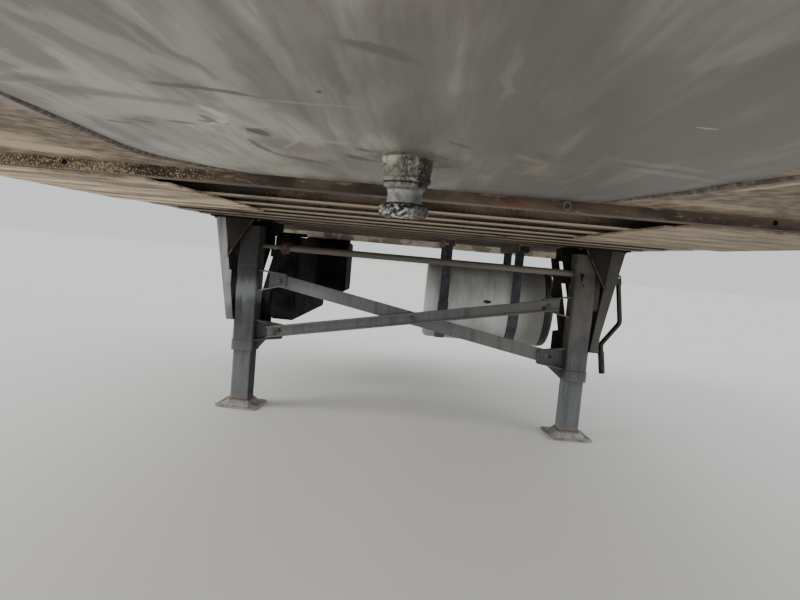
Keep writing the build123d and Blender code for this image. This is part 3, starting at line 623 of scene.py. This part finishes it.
def pin_grease():
    """Grey grease on the kingpin: wiped smooth on its neck, black and stringy to the road side, where
    painted shade darkens it further; painted highlights to the curb side and painted shadow lines.
    """
    coat = Coat("greased_pin")
    y, z = coat.axes("YZ")
    lumps = coat.noise(70, 5, twist=0.8)
    strings = coat.noise(95, 4, (1, 1, 0.6), twist=1.8)
    grains = coat.noise(170, 4)
    from_collar = z - NECK_Z
    from_neck = z - TIP_Z
    tip = from_neck.fall(-0.005, -0.002)
    collar = from_collar.rise(-0.0095, -0.0075)
    neck = 1 - tip - collar
    coat.base((118, 114, 104), (166, 162, 150), lumps.rise(0.4, 0.6))
    lit_corner = z.rise(-0.016, -0.006) * y.fall(-0.022, -0.01)
    coat.paint((226, 222, 202), lit_corner * lumps.rise(0.4, 0.52) * 0.9)
    lit_edge = from_collar.window(0.0005, 0.0025, 0.0035, 0.0055)
    coat.paint((196, 194, 184), lit_edge * grains.rise(0.42, 0.52) * 0.8)
    threads = abs(strings - 0.5).fall(0.014, 0.03) * (y + lumps * 0.02).rise(-0.004, 0.01) * collar
    coat.paint((36, 30, 25), threads * 0.95)
    # Road face: black grease, darkened further as painted shade.
    road_face = (y + lumps * 0.016).rise(0.022, 0.03) * collar
    coat.paint((36, 31, 25), road_face * grains.rise(0.3, 0.46) * 0.95)
    # Painted shade: a dark line in the recess at the collar's foot.
    coat.paint((34, 31, 28), from_collar.window(-0.0035, -0.002, -0.001, 0.0) * 0.9)
    coat.paint((146, 147, 145), neck * 0.85)
    # Painted highlights on the neck's curb side.
    coat.paint((226, 227, 224), neck * y.fall(-0.014, 0.006) * lumps.rise(0.4, 0.64) * 0.6)
    # Painted shadows: dark lines under the skirt and above the tip.
    under_skirt = from_collar.window(-0.0125, -0.011, -0.0095, -0.008)
    over_tip = from_neck.window(-0.005, -0.0035, -0.001, 0.001)
    coat.paint((36, 34, 32), (under_skirt + over_tip) * lumps.rise(0.34, 0.5) * 0.8)
    # Painted shade on the neck's road side.
    coat.paint((78, 76, 72), neck * y.rise(0.006, 0.018) * 0.8)
    coat.paint((88, 86, 80), tip * 0.7)
    # Pale grains on the tip: partly pale grease, partly painted highlight, fading to the road side.
    whiter = tip * grains.rise(0.5, 0.57) * (1 - y.rise(0.0, 0.024) * 0.7)
    coat.paint((222, 220, 214), whiter * 0.9)
    coat.paint((38, 37, 35), tip * (grains + lumps).fall(0.9, 1.0) * 0.9)
    # Painted shade on the tip's road side.
    coat.paint((62, 58, 54), tip * y.rise(0.008, 0.026) * 0.7)
    relief = lumps * 0.3 + grains * (1 - neck) * 0.5 + threads * -0.4 + coat.noise(700, 3) * 0.1
    return coat.surface(0.42 + lumps * 0.25, relief, 0.003, lacquer=neck * 0.4, gloss=0.35)


def dark_grease():
    """Old black-brown grease, dull with dust."""
    coat = Coat("dark_grease")
    lumps = coat.noise(80, 6)
    coat.base((66, 58, 49), (118, 107, 93), lumps.rise(0.4, 0.65))
    return coat.surface(0.4 + lumps * 0.3, lumps, 0.0012)


def black_rubber():
    """Matt black rubber with dust in its pores."""
    coat = Coat("black_rubber")
    coat.base((20, 20, 20), (56, 53, 49), coat.noise(50, 5).rise(0.45, 0.7))
    return coat.surface(0.6, coat.noise(400, 3), 0.0004)


finishes = {
    "greased_steel": greased_plate(),
    "underframe_steel": frame_steel(),
    "greased_pin": pin_grease(),
    "oak": deck_boards(),
    "dusty_panel": dusty_panels(),
    "rail_aluminium": rail_aluminium(),
    "light_beam": pale_and_lit_beam(),
    "tank_aluminium": brushed_tank(),
    "black_box": black_panels(),
    "crank_black": glossy_black(),
    "bright_steel": worn_steel(),
    "strap_steel": dark_strap(),
    "foot_steel": foot_paint(),
    "gear_paint": gear_paint("gear_paint", (98, 101, 104), (68, 71, 74), (38, 35, 32), shade_share=0.9),
}
brace_paint = gear_paint("brace_paint", (112, 114, 116), (108, 110, 110), (98, 98, 96), 0.7)
# Curb-side outrigger and its clip: pale grey, partly their paint, partly painted light from the curb
# side.
pale_and_lit_paint = gear_paint("pale_and_lit_paint", (150, 152, 152), (158, 160, 160), (156, 157, 156), 0.6)
# Near black for hanger plates, struts, mount plates, the shaft's guard and small fittings: partly their
# paint, partly painted shade where they sit behind the legs.
black_and_shaded_paint = gear_paint("black_and_shaded_paint", (46, 45, 45), (24, 23, 22), (14, 13, 12), 0.1, 0.1)
# Road-side outrigger and gearbox: charcoal, partly their paint, partly painted shade.
charcoal_and_shaded_paint = gear_paint("charcoal_and_shaded_paint", (70, 71, 73), (56, 56, 57), (46, 45, 44), 0.3, 0.3)
bracket_paint = gear_paint("bracket_paint", (92, 95, 98), (88, 91, 94), (92, 92, 92), 0.6)
grey_bolts = rusted_fasteners("grey_bolts", (112, 112, 111), (88, 82, 76))
dark_bolts = rusted_fasteners("dark_bolts", (58, 54, 50), (74, 58, 47))
bright_bolts = rusted_fasteners("bright_bolts", (196, 194, 190), (150, 140, 128))
old_grease = dark_grease()
rubber = black_rubber()
own_finishes = {}
for own_finish, names in (
    (strip_steel(), "coupler_strip"),
    (shaft_steel(), "cross_shaft"),
    (gusset_shaded_paint(), "leg_gusset_left leg_gusset_right"),
    (brace_paint, "front_brace rear_brace"),
    (pale_and_lit_paint, "outrigger_right"),
    (charcoal_and_shaded_paint, "outrigger_left gearbox"),
    (bracket_paint, "brace_bracket_upper_left brace_bracket_upper_right"),
    (black_and_shaded_paint, "shaft_guard hanger_plate_left hanger_plate_right leg_strut_left leg_strut_right"),
    (black_and_shaded_paint, "mount_plate_left mount_plate_right"),
):
    for name in names.split():
        own_finishes[name] = own_finish
for row in frame["record"]["subparts"]:
    node = frame["nodes"][row["node"]]
    node.data.materials.clear()
    node.data.materials.append(own_finishes.get(row["node"], finishes[row["material_slot"]]))


# Modelling helpers

def activate(piece):
    bpy.ops.object.select_all(action="DESELECT")
    piece.select_set(True)
    bpy.context.view_layer.objects.active = piece


def settle(piece):
    """Put the object's place, turn and scale into its mesh."""
    activate(piece)
    bpy.ops.object.transform_apply(location=True, rotation=True, scale=True)
    piece.select_set(False)
    return piece


def dress(piece, name, slot, material=None, body="underframe"):
    """Name a piece, give it its slot's finish or another, and let it ride on a body."""
    piece.name = name
    piece.data.name = name
    piece.data.materials.clear()
    piece.data.materials.append(material or finishes[slot])
    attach(piece, body)
    return piece


def apply_modifier(piece, kind, **settings):
    modifier = piece.modifiers.new(kind.lower(), kind)
    for name, value in settings.items():
        setattr(modifier, name, value)
    activate(piece)
    bpy.ops.object.modifier_apply(modifier=modifier.name)


def smooth(piece, angle):
    activate(piece)
    bpy.ops.object.shade_smooth_by_angle(angle=math.radians(angle))


def turned(rows, segments):
    """A closed turned shape on the Z axis: one ring for each radius and height, by extrusion."""
    radius, height = rows[0]
    bpy.ops.mesh.primitive_circle_add(
        vertices=segments, radius=radius, fill_type="NGON", location=(0, 0, height)
    )
    piece = bpy.context.active_object
    bpy.ops.object.transform_apply(location=True)
    bpy.ops.object.mode_set(mode="EDIT")
    bpy.ops.mesh.select_all(action="SELECT")
    for new_radius, new_height in rows[1:]:
        bpy.ops.mesh.extrude_region_move(
            TRANSFORM_OT_translate={"value": (0, 0, new_height - height)}
        )
        share = new_radius / radius
        bpy.ops.transform.resize(value=(share, share, 1), center_override=(0, 0, new_height))
        radius, height = new_radius, new_height
    bpy.ops.mesh.select_all(action="SELECT")
    bpy.ops.mesh.normals_make_consistent(inside=False)
    bpy.ops.object.mode_set(mode="OBJECT")
    return piece


def placed(piece, location, rotation):
    """The piece itself, set at a place."""
    piece.location = location
    piece.rotation_euler = rotation
    return settle(piece)


def copied(piece, location, rotation):
    """A copy with its own mesh, set at a place."""
    twin = piece.copy()
    twin.data = piece.data.copy()
    link(twin)
    return placed(twin, location, rotation)


def joined(pieces):
    bpy.ops.object.select_all(action="DESELECT")
    for piece in pieces:
        piece.select_set(True)
    bpy.context.view_layer.objects.active = pieces[0]
    bpy.ops.object.join()
    return pieces[0]


def roughened(piece, *clouds):
    """Push a mesh in and out by cloud textures, each with its size and strength."""
    for size, strength in clouds:
        texture = bpy.data.textures.new("lumps", "CLOUDS")
        texture.noise_scale = size
        texture.noise_depth = 3
        apply_modifier(
            piece, "DISPLACE", texture=texture, strength=strength, mid_level=0.5, texture_coords="LOCAL"
        )


def lumpy(piece, *clouds):
    """Divide each face in four, then roughen the mesh."""
    apply_modifier(piece, "SUBSURF", subdivision_type="SIMPLE", levels=1, render_levels=1)
    roughened(piece, *clouds)
    return piece


# Turns that lay a piece's own Z along a direction
FACING = {
    "front": (0, math.radians(90), 0),
    "back": (0, math.radians(-90), 0),
    "down": (math.radians(180), 0, 0),
    "up": (0, 0, 0),
    "left": (math.radians(-90), 0, 0),
    "right": (math.radians(90), 0, 0),
}


def slab(low, high, edge):
    """A plate between two corners, with its edges broken."""
    size = [top - bottom for bottom, top in zip(low, high)]
    middle = [(top + bottom) / 2 for bottom, top in zip(low, high)]
    bpy.ops.mesh.primitive_cube_add(size=1, location=middle, scale=size)
    piece = settle(bpy.context.active_object)
    activate(piece)
    bpy.ops.object.mode_set(mode="EDIT")
    bpy.ops.mesh.select_all(action="SELECT")
    bpy.ops.mesh.bevel(offset=edge, segments=2, affect="EDGES")
    bpy.ops.object.mode_set(mode="OBJECT")
    return piece


def bar(points, radii, closed=False, sides=3, kind="NURBS"):
    """A round bar through points, with a radius at each, made a mesh."""
    curve = bpy.data.curves.new("bar", "CURVE")
    curve.dimensions = "3D"
    curve.bevel_depth = 1.0
    curve.bevel_resolution = sides
    curve.use_fill_caps = not closed
    spline = curve.splines.new(kind)
    spline.points.add(len(points) - 1)
    for knot, place, radius in zip(spline.points, points, radii):
        knot.co = (*place, 1)
        knot.radius = radius
    spline.use_cyclic_u = closed
    if kind == "NURBS":
        spline.order_u = 3
        spline.use_endpoint_u = not closed
        spline.resolution_u = 5
    piece = bpy.data.objects.new("bar", curve)
    link(piece)
    activate(piece)
    bpy.ops.object.convert(target="MESH")
    return bpy.context.active_object


def bead(points, radius, spacing=0.006, closed=False):
    """A weld bead along a path: a bar with a ripple for every few millimetres."""
    path = [Vector(point) for point in points]
    if closed:
        path.append(path[0])
    knots = []
    for start, end in zip(path, path[1:]):
        steps = max(1, round((end - start).length / spacing))
        knots += [start.lerp(end, step / steps) for step in range(steps)]
    if not closed:
        knots.append(path[-1])
    radii = [radius * (1.2 if number % 2 else 0.8) for number in range(len(knots))]
    return bar(knots, radii, closed, sides=1, kind="POLY")


def round_leg(y, z, size, corner):
    """Points round a leg's square tube."""
    points = []
    for quarter in range(4):
        turn_x = 1 if quarter in (0, 3) else -1
        turn_y = 1 if quarter in (0, 1) else -1
        for step in range(5):
            angle = math.radians(90 * (quarter + step / 4))
            points.append((
                LEG_X + turn_x * (size / 2 - corner) + corner * math.cos(angle),
                y + turn_y * (size / 2 - corner) + corner * math.sin(angle),
                z,
            ))
    return points


def fasteners(name, master, spots, slot, material=None, body="underframe"):
    """Copies of one fastener, each at x, y, z and facing one way, as one piece."""
    pieces = [copied(master, spot[:3], FACING[spot[3]]) for spot in spots]
    return dress(joined(pieces), name, slot, material, body)


# Floor and light
bpy.ops.mesh.primitive_plane_add(size=120, location=(0, 0, GROUND_Z - 0.0005))
floor = settle(bpy.context.active_object)
floor.name = "floor"
pale_floor = Coat("pale_floor")
pale_floor.colour = tone(216, 214, 210)
floor.data.materials.append(pale_floor.surface(0.9))

world = bpy.data.worlds.new("studio")
bpy.context.scene.world = world
world.use_nodes = True
sky = Tree(world.node_tree)
lighting = sky.nodes["Background"]
lighting.inputs["Color"].default_value = (0.95, 0.98, 1.0, 1.0)
lighting.inputs["Strength"].default_value = 1.05
backdrop = sky.add("ShaderNodeBackground", {}, {"Color": (0.94, 0.96, 0.98, 1.0), "Strength": 0.9})
seen = sky.add("ShaderNodeLightPath", output="Is Camera Ray")
for ray in ("Is Glossy Ray", "Is Transmission Ray"):
    seen = seen + sky.add("ShaderNodeLightPath", output=ray)
shown = sky.add(
    "ShaderNodeMixShader", {}, {0: seen.below(1), 1: Wire(sky, lighting.outputs[0]), 2: backdrop}
)
sky.feed(sky.nodes["World Output"].inputs["Surface"], shown)
for name, energy, azimuth, elevation, spread in (
    ("curb_side_light", 2.0, 292, 25, 34),
    ("road_side_light", 0.7, 62, 28, 40),
):
    lamp = bpy.data.lights.new(name, "SUN")
    lamp.energy = energy
    lamp.angle = math.radians(spread)
    source = bpy.data.objects.new(name, lamp)
    turn, lift = math.radians(azimuth), math.radians(elevation)
    away = Vector((math.cos(turn) * math.cos(lift), math.sin(turn) * math.cos(lift), math.sin(lift)))
    source.rotation_euler = away.to_track_quat("Z", "Y").to_euler()
    link(source)

# Kingpin under its grease, in three turned parts: each one's radius and height, its coarse and
# fine lumps, and its rings as steps out and up from there in millimetres
PIN_PARTS = (
    (COLLAR_RADIUS, NECK_Z, 0.0034, 0.003, (
        (-4.5, 36), (0.4, 35), (-0.2, 29), (-0.8, 22), (-1.2, 13), (-1.2, 6), (0.4, 3), (-0.2, 1),
        (-4.8, -0.6), (-4.4, -2.8), (-5.0, -6.0), (-9.1, -8.5),
    )),
    (NECK_RADIUS, TIP_Z, 0.0016, 0.0008, (
        (-3.0, 28), (1.2, 22), (0.6, 19), (-0.4, 15), (-0.6, 9), (0.2, 3), (-0.4, -2), (-2.0, -6),
    )),
    (TIP_RADIUS, END_Z, 0.0034, 0.0062, (
        (-9.3, 18), (-7.0, 17.4), (-1.4, 15), (0.4, 10.5), (-0.2, 6), (-1.6, 2), (-6.0, -0.2),
        (-17.7, -0.8), (-31.7, -0.8),
    )),
)
pin_parts = []
for radius, height, coarse, fine_lumps, steps in PIN_PARTS:
    part = turned([(radius + out / 1000, height + above / 1000) for out, above in steps], 72)
    pin_parts.append(lumpy(part, (0.014, coarse), (0.0045, fine_lumps)))
pin = joined(pin_parts)
smooth(pin, 60)
dress(pin, "greased_kingpin", "greased_pin")
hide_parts("kingpin")

# Grease in the groove round the pin's root, and in a ridge along each side of the rubbed track,
# with rows of x, y and radius in millimetres
root_ring = turned([
    (0.0355, -0.0022), (0.0372, -0.001), (0.04, -0.0004), (0.0462, -0.0002), (0.0475, 0.0008),
], 60)
roughened(root_ring, (0.01, 0.0004))
smooth(root_ring, 60)
dress(root_ring, "pin_root_grease", "greased_steel")
RIDGES = {
    "curb_side_grease_ridge": (
        (300, -440, 1.7), (220, -446, 4.08), (92, -458, 6.12), (-32, -472, 7.14), (-120, -478, 6.8),
        (-190, -468, 6.12), (-260, -430, 5.1), (-310, -382, 4.08), (-355, -335, 2.04),
    ),
    "road_side_grease_ridge": (
        (230, 505, 1.7), (119, 485, 5.78), (31, 458, 6.8), (-64, 448, 6.8), (-140, 430, 6.12),
        (-206, 408, 5.1), (-290, 392, 3.74), (-355, 380, 2.04),
    ),
}
RIDGE_Z = 0.0005
for name, rows in RIDGES.items():
    points = [(x / 1000, y / 1000, RIDGE_Z) for x, y, _ in rows]
    ridge = bar(points, [radius / 1000 for _, _, radius in rows])
    lumpy(ridge, (0.012, 0.0022))
    smooth(ridge, 60)
    dress(ridge, name, "greased_pin", old_grease)

# Tank: turned on its own axis, with rounded heads and a rolled rim near each end
near_end, far_end = TANK_ENDS
half = (far_end - near_end) / 2
head_corner = 0.038
rim_radius = TANK_RADIUS + 0.002
head_rows = [(0.02, 0.012), (0.15, 0.008), (TANK_RADIUS - 0.05, 0.003)]
for degrees in range(0, 91, 15):
    out = head_corner * math.sin(math.radians(degrees))
    inset = head_corner - head_corner * math.cos(math.radians(degrees))
    head_rows.append((TANK_RADIUS - head_corner + out, inset))
head_rows += [(TANK_RADIUS, 0.05), (rim_radius, 0.053), (rim_radius, 0.059), (TANK_RADIUS, 0.062)]
tank_rows = [(radius, inset - half) for radius, inset in head_rows]
tank_rows += [(radius, half - inset) for radius, inset in reversed(head_rows)]
tank = turned(tank_rows, 96)
placed(tank, (TANK_X, (near_end + far_end) / 2, TANK_Z), FACING["left"])
smooth(tank, 40)
dress(tank, "tank_shell", "tank_aluminium")
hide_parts("fuel_tank")


# Fasteners, each modelled once

def hex_bolt(width, washer):
    """A hexagon head on a washer, with a little thread showing."""
    head, thread = width * 0.57, width * 0.3
    return joined([
        turned([(washer, -0.0005), (washer, 0.0024), (washer - 0.0012, 0.003)], 24),
        turned([(head, 0.003), (head, width * 0.38), (width * 0.49, width * 0.44)], 6),
        turned([(thread, width * 0.42), (thread, width * 0.56), (width * 0.24, width * 0.62)], 14),
    ])


wide_bolt = hex_bolt(0.024, 0.021)
big_bolt = hex_bolt(0.024, 0.0165)
small_bolt = hex_bolt(0.016, 0.012)
rivet = turned([(0.0075, -0.0002), (0.007, 0.0018), (0.0045, 0.0036), (0.0015, 0.0042)], 10)
screw = turned([(0.006, -0.0002), (0.006, 0.0004), (0.003, 0.0001), (0.001, 0.0001)], 8)
bracket_spot = (BRACKET_FACE_X, *ROAD_BOTTOM, "front")
fasteners("bracket_bolt", wide_bolt, [bracket_spot], "bright_steel", grey_bolts)
fasteners("brace_bolts", big_bolt, (
    (BRACE_FACE_X, *ROAD_TOP, "front"),
    (BRACE_FACE_X, *CURB_BOTTOM, "front"),
    (BRACKET_FACE_X, *CURB_TOP, "front"),
    (BRACE_FACE_X, *CROSSING, "front"),
    (BRACE_BACK_X, *ROAD_BOTTOM, "back"),
    (LEG_X, *ROAD_TOP, "back"),
    (LEG_X, *CURB_BOTTOM, "back"),
    (BRACE_BACK_X, *CURB_TOP, "back"),
), "bright_steel", grey_bolts)
fasteners("spare_hole_bolts", small_bolt, (
    (BRACKET_FACE_X, 0.822, -0.652, "front"),
    (BRACE_FACE_X, 0.757, -0.372, "front"),
    (BRACE_FACE_X, -0.766, -0.645, "front"),
), "bright_steel", dark_bolts)
spacer = slab((-2.588, -0.016, -0.52), (-2.578, 0.028, -0.484), 0.002)
dress(spacer, "brace_spacer", "gear_paint", dark_bolts)

# Bolts up through the flanges that carry the mount plates and the tank's rails
mount_plate_z, tank_rail_z = -0.016, -0.0495
mount_bolts = [
    (x, side * y, mount_plate_z, "down")
    for side in (-1, 1) for y in (0.905, 1.15) for x in (-2.48, -2.802)
]
rail_bolts = [
    (FIRST_CROSSMEMBER_X - PITCH * number, y + reach, tank_rail_z, "down")
    for number in (7, 10) for y in STRAP_YS for reach in (-0.018, 0.018)
]
fasteners("underframe_bolts", small_bolt, mount_bolts + rail_bolts, "bright_steel", dark_bolts)

# Rivets along the side rails and screws through the floor boards
first_rivet_x, rail_face_y, floor_z = 0.8, 1.2948, 0.124
rail_rivets = [
    (first_rivet_x - number * PITCH / 2, side * rail_face_y, z, facing)
    for number in range(34) for side, facing in ((1, "left"), (-1, "right")) for z in (0.018, 0.09)
]
fasteners("rail_rivets", rivet, rail_rivets, "rail_aluminium", bright_bolts)
floor_screws = [
    (FIRST_CROSSMEMBER_X - PITCH * number, FIRST_BOARD_Y + BOARD_PITCH * board + reach, floor_z, "up")
    for number in range(12) for board in range(8) for reach in (-0.11, 0.11)
]
fasteners("floor_screws", screw, floor_screws, "oak", dark_bolts)

# Weld beads: round the tubes at their collars and feet, as height, width and corner, along the
# brackets, gussets and hanger plates, and across the curb-side leg
collar_weld = (-0.7155, OUTER_TUBE + 0.001, 0.016)
foot_weld = (-1.0655, 0.1145, 0.014)
bracket_weld_x = -2.577
gusset_weld = ((-2.5215, 1.094, -0.018), (-2.5155, 1.08, -0.232))
hanger_weld = ((-2.654, 1.028, -0.06), (-2.654, 1.028, -0.6))
beads = []
for side in (-1, 1):
    beads.append(bead(round_leg(side * LEG_Y, *collar_weld), 0.003, closed=True))
    inner_y = side * (LEG_Y - OUTER_TUBE / 2)
    for bracket_zs in ((-0.595, -0.705), (-0.3, -0.41)):
        beads.append(bead([(bracket_weld_x, inner_y, z) for z in bracket_zs], 0.003))
    for weld, radius in ((gusset_weld, 0.0026), (hanger_weld, 0.003)):
        beads.append(bead([(x, side * y, z) for x, y, z in weld], radius))
leg_weld_x, leg_weld_z = TUBE_FRONT_X + 0.0005, -0.277
beads.append(bead([(leg_weld_x, reach - LEG_Y, leg_weld_z) for reach in (-0.052, 0.052)], 0.0018))
tube_welds = joined(beads)
smooth(tube_welds, 70)
painted_welds = rusted_fasteners("painted_welds", (62, 62, 62), (92, 88, 82))
dress(tube_welds, "weld_beads", "gear_paint", painted_welds)
foot_welds = joined([
    bead(round_leg(side * LEG_Y, *foot_weld), 0.0045, 0.008, closed=True) for side in (-1, 1)
])
roughened(foot_welds, (0.01, 0.003))
smooth(foot_welds, 70)
brown_welds = rusted_fasteners("brown_welds", (112, 88, 66), (82, 62, 48))
dress(foot_welds, "foot_welds", "foot_steel", brown_welds)

# Raised rim along the front edge of each foot
RIM_RADII = (0.003, 0.0036, 0.0038, 0.0036, 0.003)
rim_half = 0.104
rim_ahead, rim_bow = 0.1205, 0.002
foot_turn = math.radians(4)
for name, side in (("curb_foot_rim", -1), ("road_foot_rim", 1)):
    turn = side * foot_turn
    edge = []
    for along in (-rim_half, -0.055, 0.0, 0.055, rim_half):
        ahead = rim_ahead + rim_bow * (1 - (along / rim_half) ** 2)
        edge.append((
            LEG_X + ahead * math.cos(turn) - along * math.sin(turn),
            side * LEG_Y + ahead * math.sin(turn) + along * math.cos(turn),
            GROUND_Z + 0.0065,
        ))
    rim = bar(edge, RIM_RADII)
    smooth(rim, 60)
    dress(rim, name, "foot_steel")

# Cross shaft's coupling: a lumpy clamp with its two bolts
clamp = turned([
    (0.03, -0.021), (0.0345, -0.018), (0.0335, -0.006), (0.031, 0.0), (0.0345, 0.007),
    (0.034, 0.018), (0.03, 0.021),
], 40)
lumpy(clamp, (0.016, 0.005))
clamp = joined([
    placed(clamp, (LEG_X, COUPLING_Y, SHAFT_Z), FACING["left"]),
    copied(small_bolt, (LEG_X + 0.031, COUPLING_Y + 0.008, SHAFT_Z + 0.01), FACING["front"]),
    copied(small_bolt, (LEG_X + 0.006, COUPLING_Y - 0.006, SHAFT_Z - 0.032), FACING["down"]),
])
smooth(clamp, 50)
rusty_clamp = rusted_fasteners("rusty_clamp", (84, 66, 53), (58, 44, 36))
dress(clamp, "coupling_clamp", "gear_paint", rusty_clamp)

# Gearbox cover with its screws and a grease nipple
cover_face_y = 1.0535
nipple = turned([(0.005, 0), (0.005, 0.005), (0.003, 0.007), (0.003, 0.011), (0.0015, 0.013)], 14)
cover_parts = [slab((-2.634, 1.05, -0.35), (-2.54, cover_face_y, -0.076), 0.001)]
for x in (-2.625, -2.549):
    for z in (-0.09, -0.213, -0.336):
        cover_parts.append(copied(small_bolt, (x, cover_face_y, z), FACING["left"]))
cover_parts.append(placed(nipple, (LEG_X, cover_face_y, -0.3), FACING["left"]))
dress(joined(cover_parts), "gearbox_cover", "gear_paint", charcoal_and_shaded_paint)

# A vee on the road-side leg, a clip on the curb-side outrigger and an ear on the shaft's guard
wedge = turned([(0.026, -0.001), (0.026, 0.0022), (0.022, 0.0032)], 3)
wedge.scale = (0.62, 1.35, 1.0)
placed(wedge, (0, 0, 0), (0, 0, math.radians(-90)))
# The vee: a near-black wedge with a short bar below it.
vee = joined([
    placed(wedge, (TUBE_FRONT_X, 0.941, -0.174), FACING["front"]),
    bar([(-2.5232, 0.946, -0.214), (-2.5232, 0.957, -0.226)], (0.003, 0.003)),
])
dress(vee, "leg_dark_vee", "gear_paint", black_and_shaded_paint)
outrigger_clip = slab((-2.516, -1.079, -0.388), (-2.509, -1.05, -0.312), 0.002)
dress(outrigger_clip, "outrigger_clip", "gear_paint", pale_and_lit_paint)
ear = turned([(0.026, -0.004), (0.026, 0.003), (0.024, 0.004)], 32)
guard_ear = joined([
    placed(ear, (-2.611, 0.822, -0.286), FACING["front"]),
    slab((-2.6145, 0.8, -0.29), (-2.6085, 0.846, -0.2), 0.001),
])
dress(guard_ear, "guard_ear", "gear_paint", black_and_shaded_paint)

# Crank: pin heads on the fork's cheeks, and a ribbed grip on its end, about the pin as it hangs
pin_head = turned([(0.0085, 0.0), (0.0085, 0.004), (0.0065, 0.006)], 6)
fasteners("crank_pin_heads", pin_head, (
    (LEG_X + 0.01, CRANK_PIN_Y, SHAFT_Z, "front"),
    (LEG_X - 0.01, CRANK_PIN_Y, SHAFT_Z, "back"),
), "bright_steel", bright_bolts, "crank")
ribs, rib_pitch = 11, 0.011
rib_radius, groove_radius = 0.0176, 0.0167
grip_rows = [(0.015, 0.0), (0.0168, 0.0015)]
for rib in range(ribs):
    low = 0.004 + rib * rib_pitch
    grip_rows += [(rib_radius, low), (rib_radius, low + 0.006)]
    grip_rows += [(groove_radius, low + 0.0075), (groove_radius, low + 0.0095)]
grip_rows += [(0.0168, 0.1265), (0.0145, 0.1285)]
grip = turned(grip_rows, 28)
tilt = math.radians(8.5)
inboard, hang = 0.113, 0.55
grip_y = CRANK_PIN_Y - inboard * math.cos(tilt) + hang * math.sin(tilt)
grip_z = SHAFT_Z - inboard * math.sin(tilt) - hang * math.cos(tilt)
placed(grip, (LEG_X, grip_y, grip_z), (tilt, 0, 0))
smooth(grip, 40)
dress(grip, "crank_grip", "crank_black", rubber, "crank")

# Tank fittings: a plug on its front, T-bolts and liners on the straps
tank_front_x = TANK_X + TANK_RADIUS
plug_y, plug_z = 0.509, -0.412
boss = turned([(0.02, 0.0), (0.02, 0.004), (0.016, 0.006)], 28)
boss.scale = (0.55, 1.35, 1.0)
settle(boss)
tank_plug = joined([
    placed(boss, (tank_front_x - 0.002, plug_y, plug_z), FACING["front"]),
    copied(small_bolt, (tank_front_x + 0.003, plug_y, plug_z), FACING["front"]),
])
dress(tank_plug, "tank_plug", "tank_aluminium", dark_bolts)
lug_x = tank_front_x + 0.0043
stem_x = lug_x + 0.01
liner_radius = TANK_RADIUS + 0.0015
arc = []
for step in range(25):
    angle = math.radians(-180 * step / 24)
    arc.append((TANK_X + liner_radius * math.cos(angle), TANK_Z + liner_radius * math.sin(angle)))
for name, y in zip(("inner", "outer"), STRAP_YS):
    strap_bolt = joined([
        bar([(stem_x, y, -0.052), (stem_x, y, -0.17)], (0.0065, 0.0065), kind="POLY"),
        slab((lug_x, y - 0.02, -0.15), (lug_x + 0.02, y + 0.02, -0.128), 0.002),
        copied(small_bolt, (stem_x, y, -0.15), FACING["down"]),
    ])
    dress(strap_bolt, f"strap_bolt_{name}", "strap_steel", dark_bolts)
    liner = joined([
        bar([(x, y + reach, z) for x, z in arc], [0.0028] * len(arc), sides=1, kind="POLY")
        for reach in (-0.0325, 0.0325)
    ])
    smooth(liner, 60)
    dress(liner, f"strap_liner_{name}", "strap_steel", rubber)

# Boxes: a rolled lower lip, a raised door, plates on their hangers, hinges and latches
box_trim = [
    slab((-4.372, -1.036, -0.657), (-3.207, -0.979, -0.455), 0.014),
    slab((-4.33, -0.986, -0.4), (-3.25, -0.979, -0.11), 0.003),
    slab((-4.3, -0.97, -0.0805), (-4.262, -0.598, -0.0595), 0.001),
    slab((-3.262, -0.957, -0.0805), (-3.222, -0.775, -0.058), 0.001),
    slab((-3.2055, -0.965, -0.56), (-3.201, -0.828, -0.12), 0.002),
]
hinge = turned([(0.008, 0), (0.009, 0.004), (0.009, 0.076), (0.008, 0.08)], 16)
for x in (-3.4, -3.8, -4.2):
    box_trim.append(copied(hinge, (x - 0.04, -0.987, -0.427), FACING["front"]))
for x in (-3.55, -4.05):
    box_trim.append(slab((x - 0.035, -1.041, -0.53), (x + 0.035, -1.035, -0.49), 0.002))
    box_trim.append(slab((x - 0.012, -1.05, -0.55), (x + 0.012, -1.038, -0.5), 0.003))
dress(joined(box_trim), "box_doors", "black_box")

# Strip: two plugs in its holes and a pale ring of weld
strip_face_x = -0.362
ring_x, ring_y, ring_z = strip_face_x + 0.0005, 0.318, -0.01
plug = turned([(0.0055, -0.0005), (0.0052, 0.0008), (0.003, 0.001)], 18)
plug_spots = [(strip_face_x, y, -0.009, "front") for y in (0.736, -0.73)]
fasteners("strip_plugs", plug, plug_spots, "underframe_steel", finishes["black_box"])
ring_points = []
for degrees in range(0, 360, 30):
    angle = math.radians(degrees)
    ring_points.append((ring_x, ring_y + 0.0075 * math.cos(angle), ring_z + 0.0085 * math.sin(angle)))
ring = bar(ring_points, [0.0022] * len(ring_points), closed=True)
smooth(ring, 60)
dress(ring, "strip_weld_ring", "underframe_steel", grey_bolts)
for master in (wide_bolt, big_bolt, small_bolt, rivet, screw, pin_head, hinge, plug):
    bpy.data.objects.remove(master)
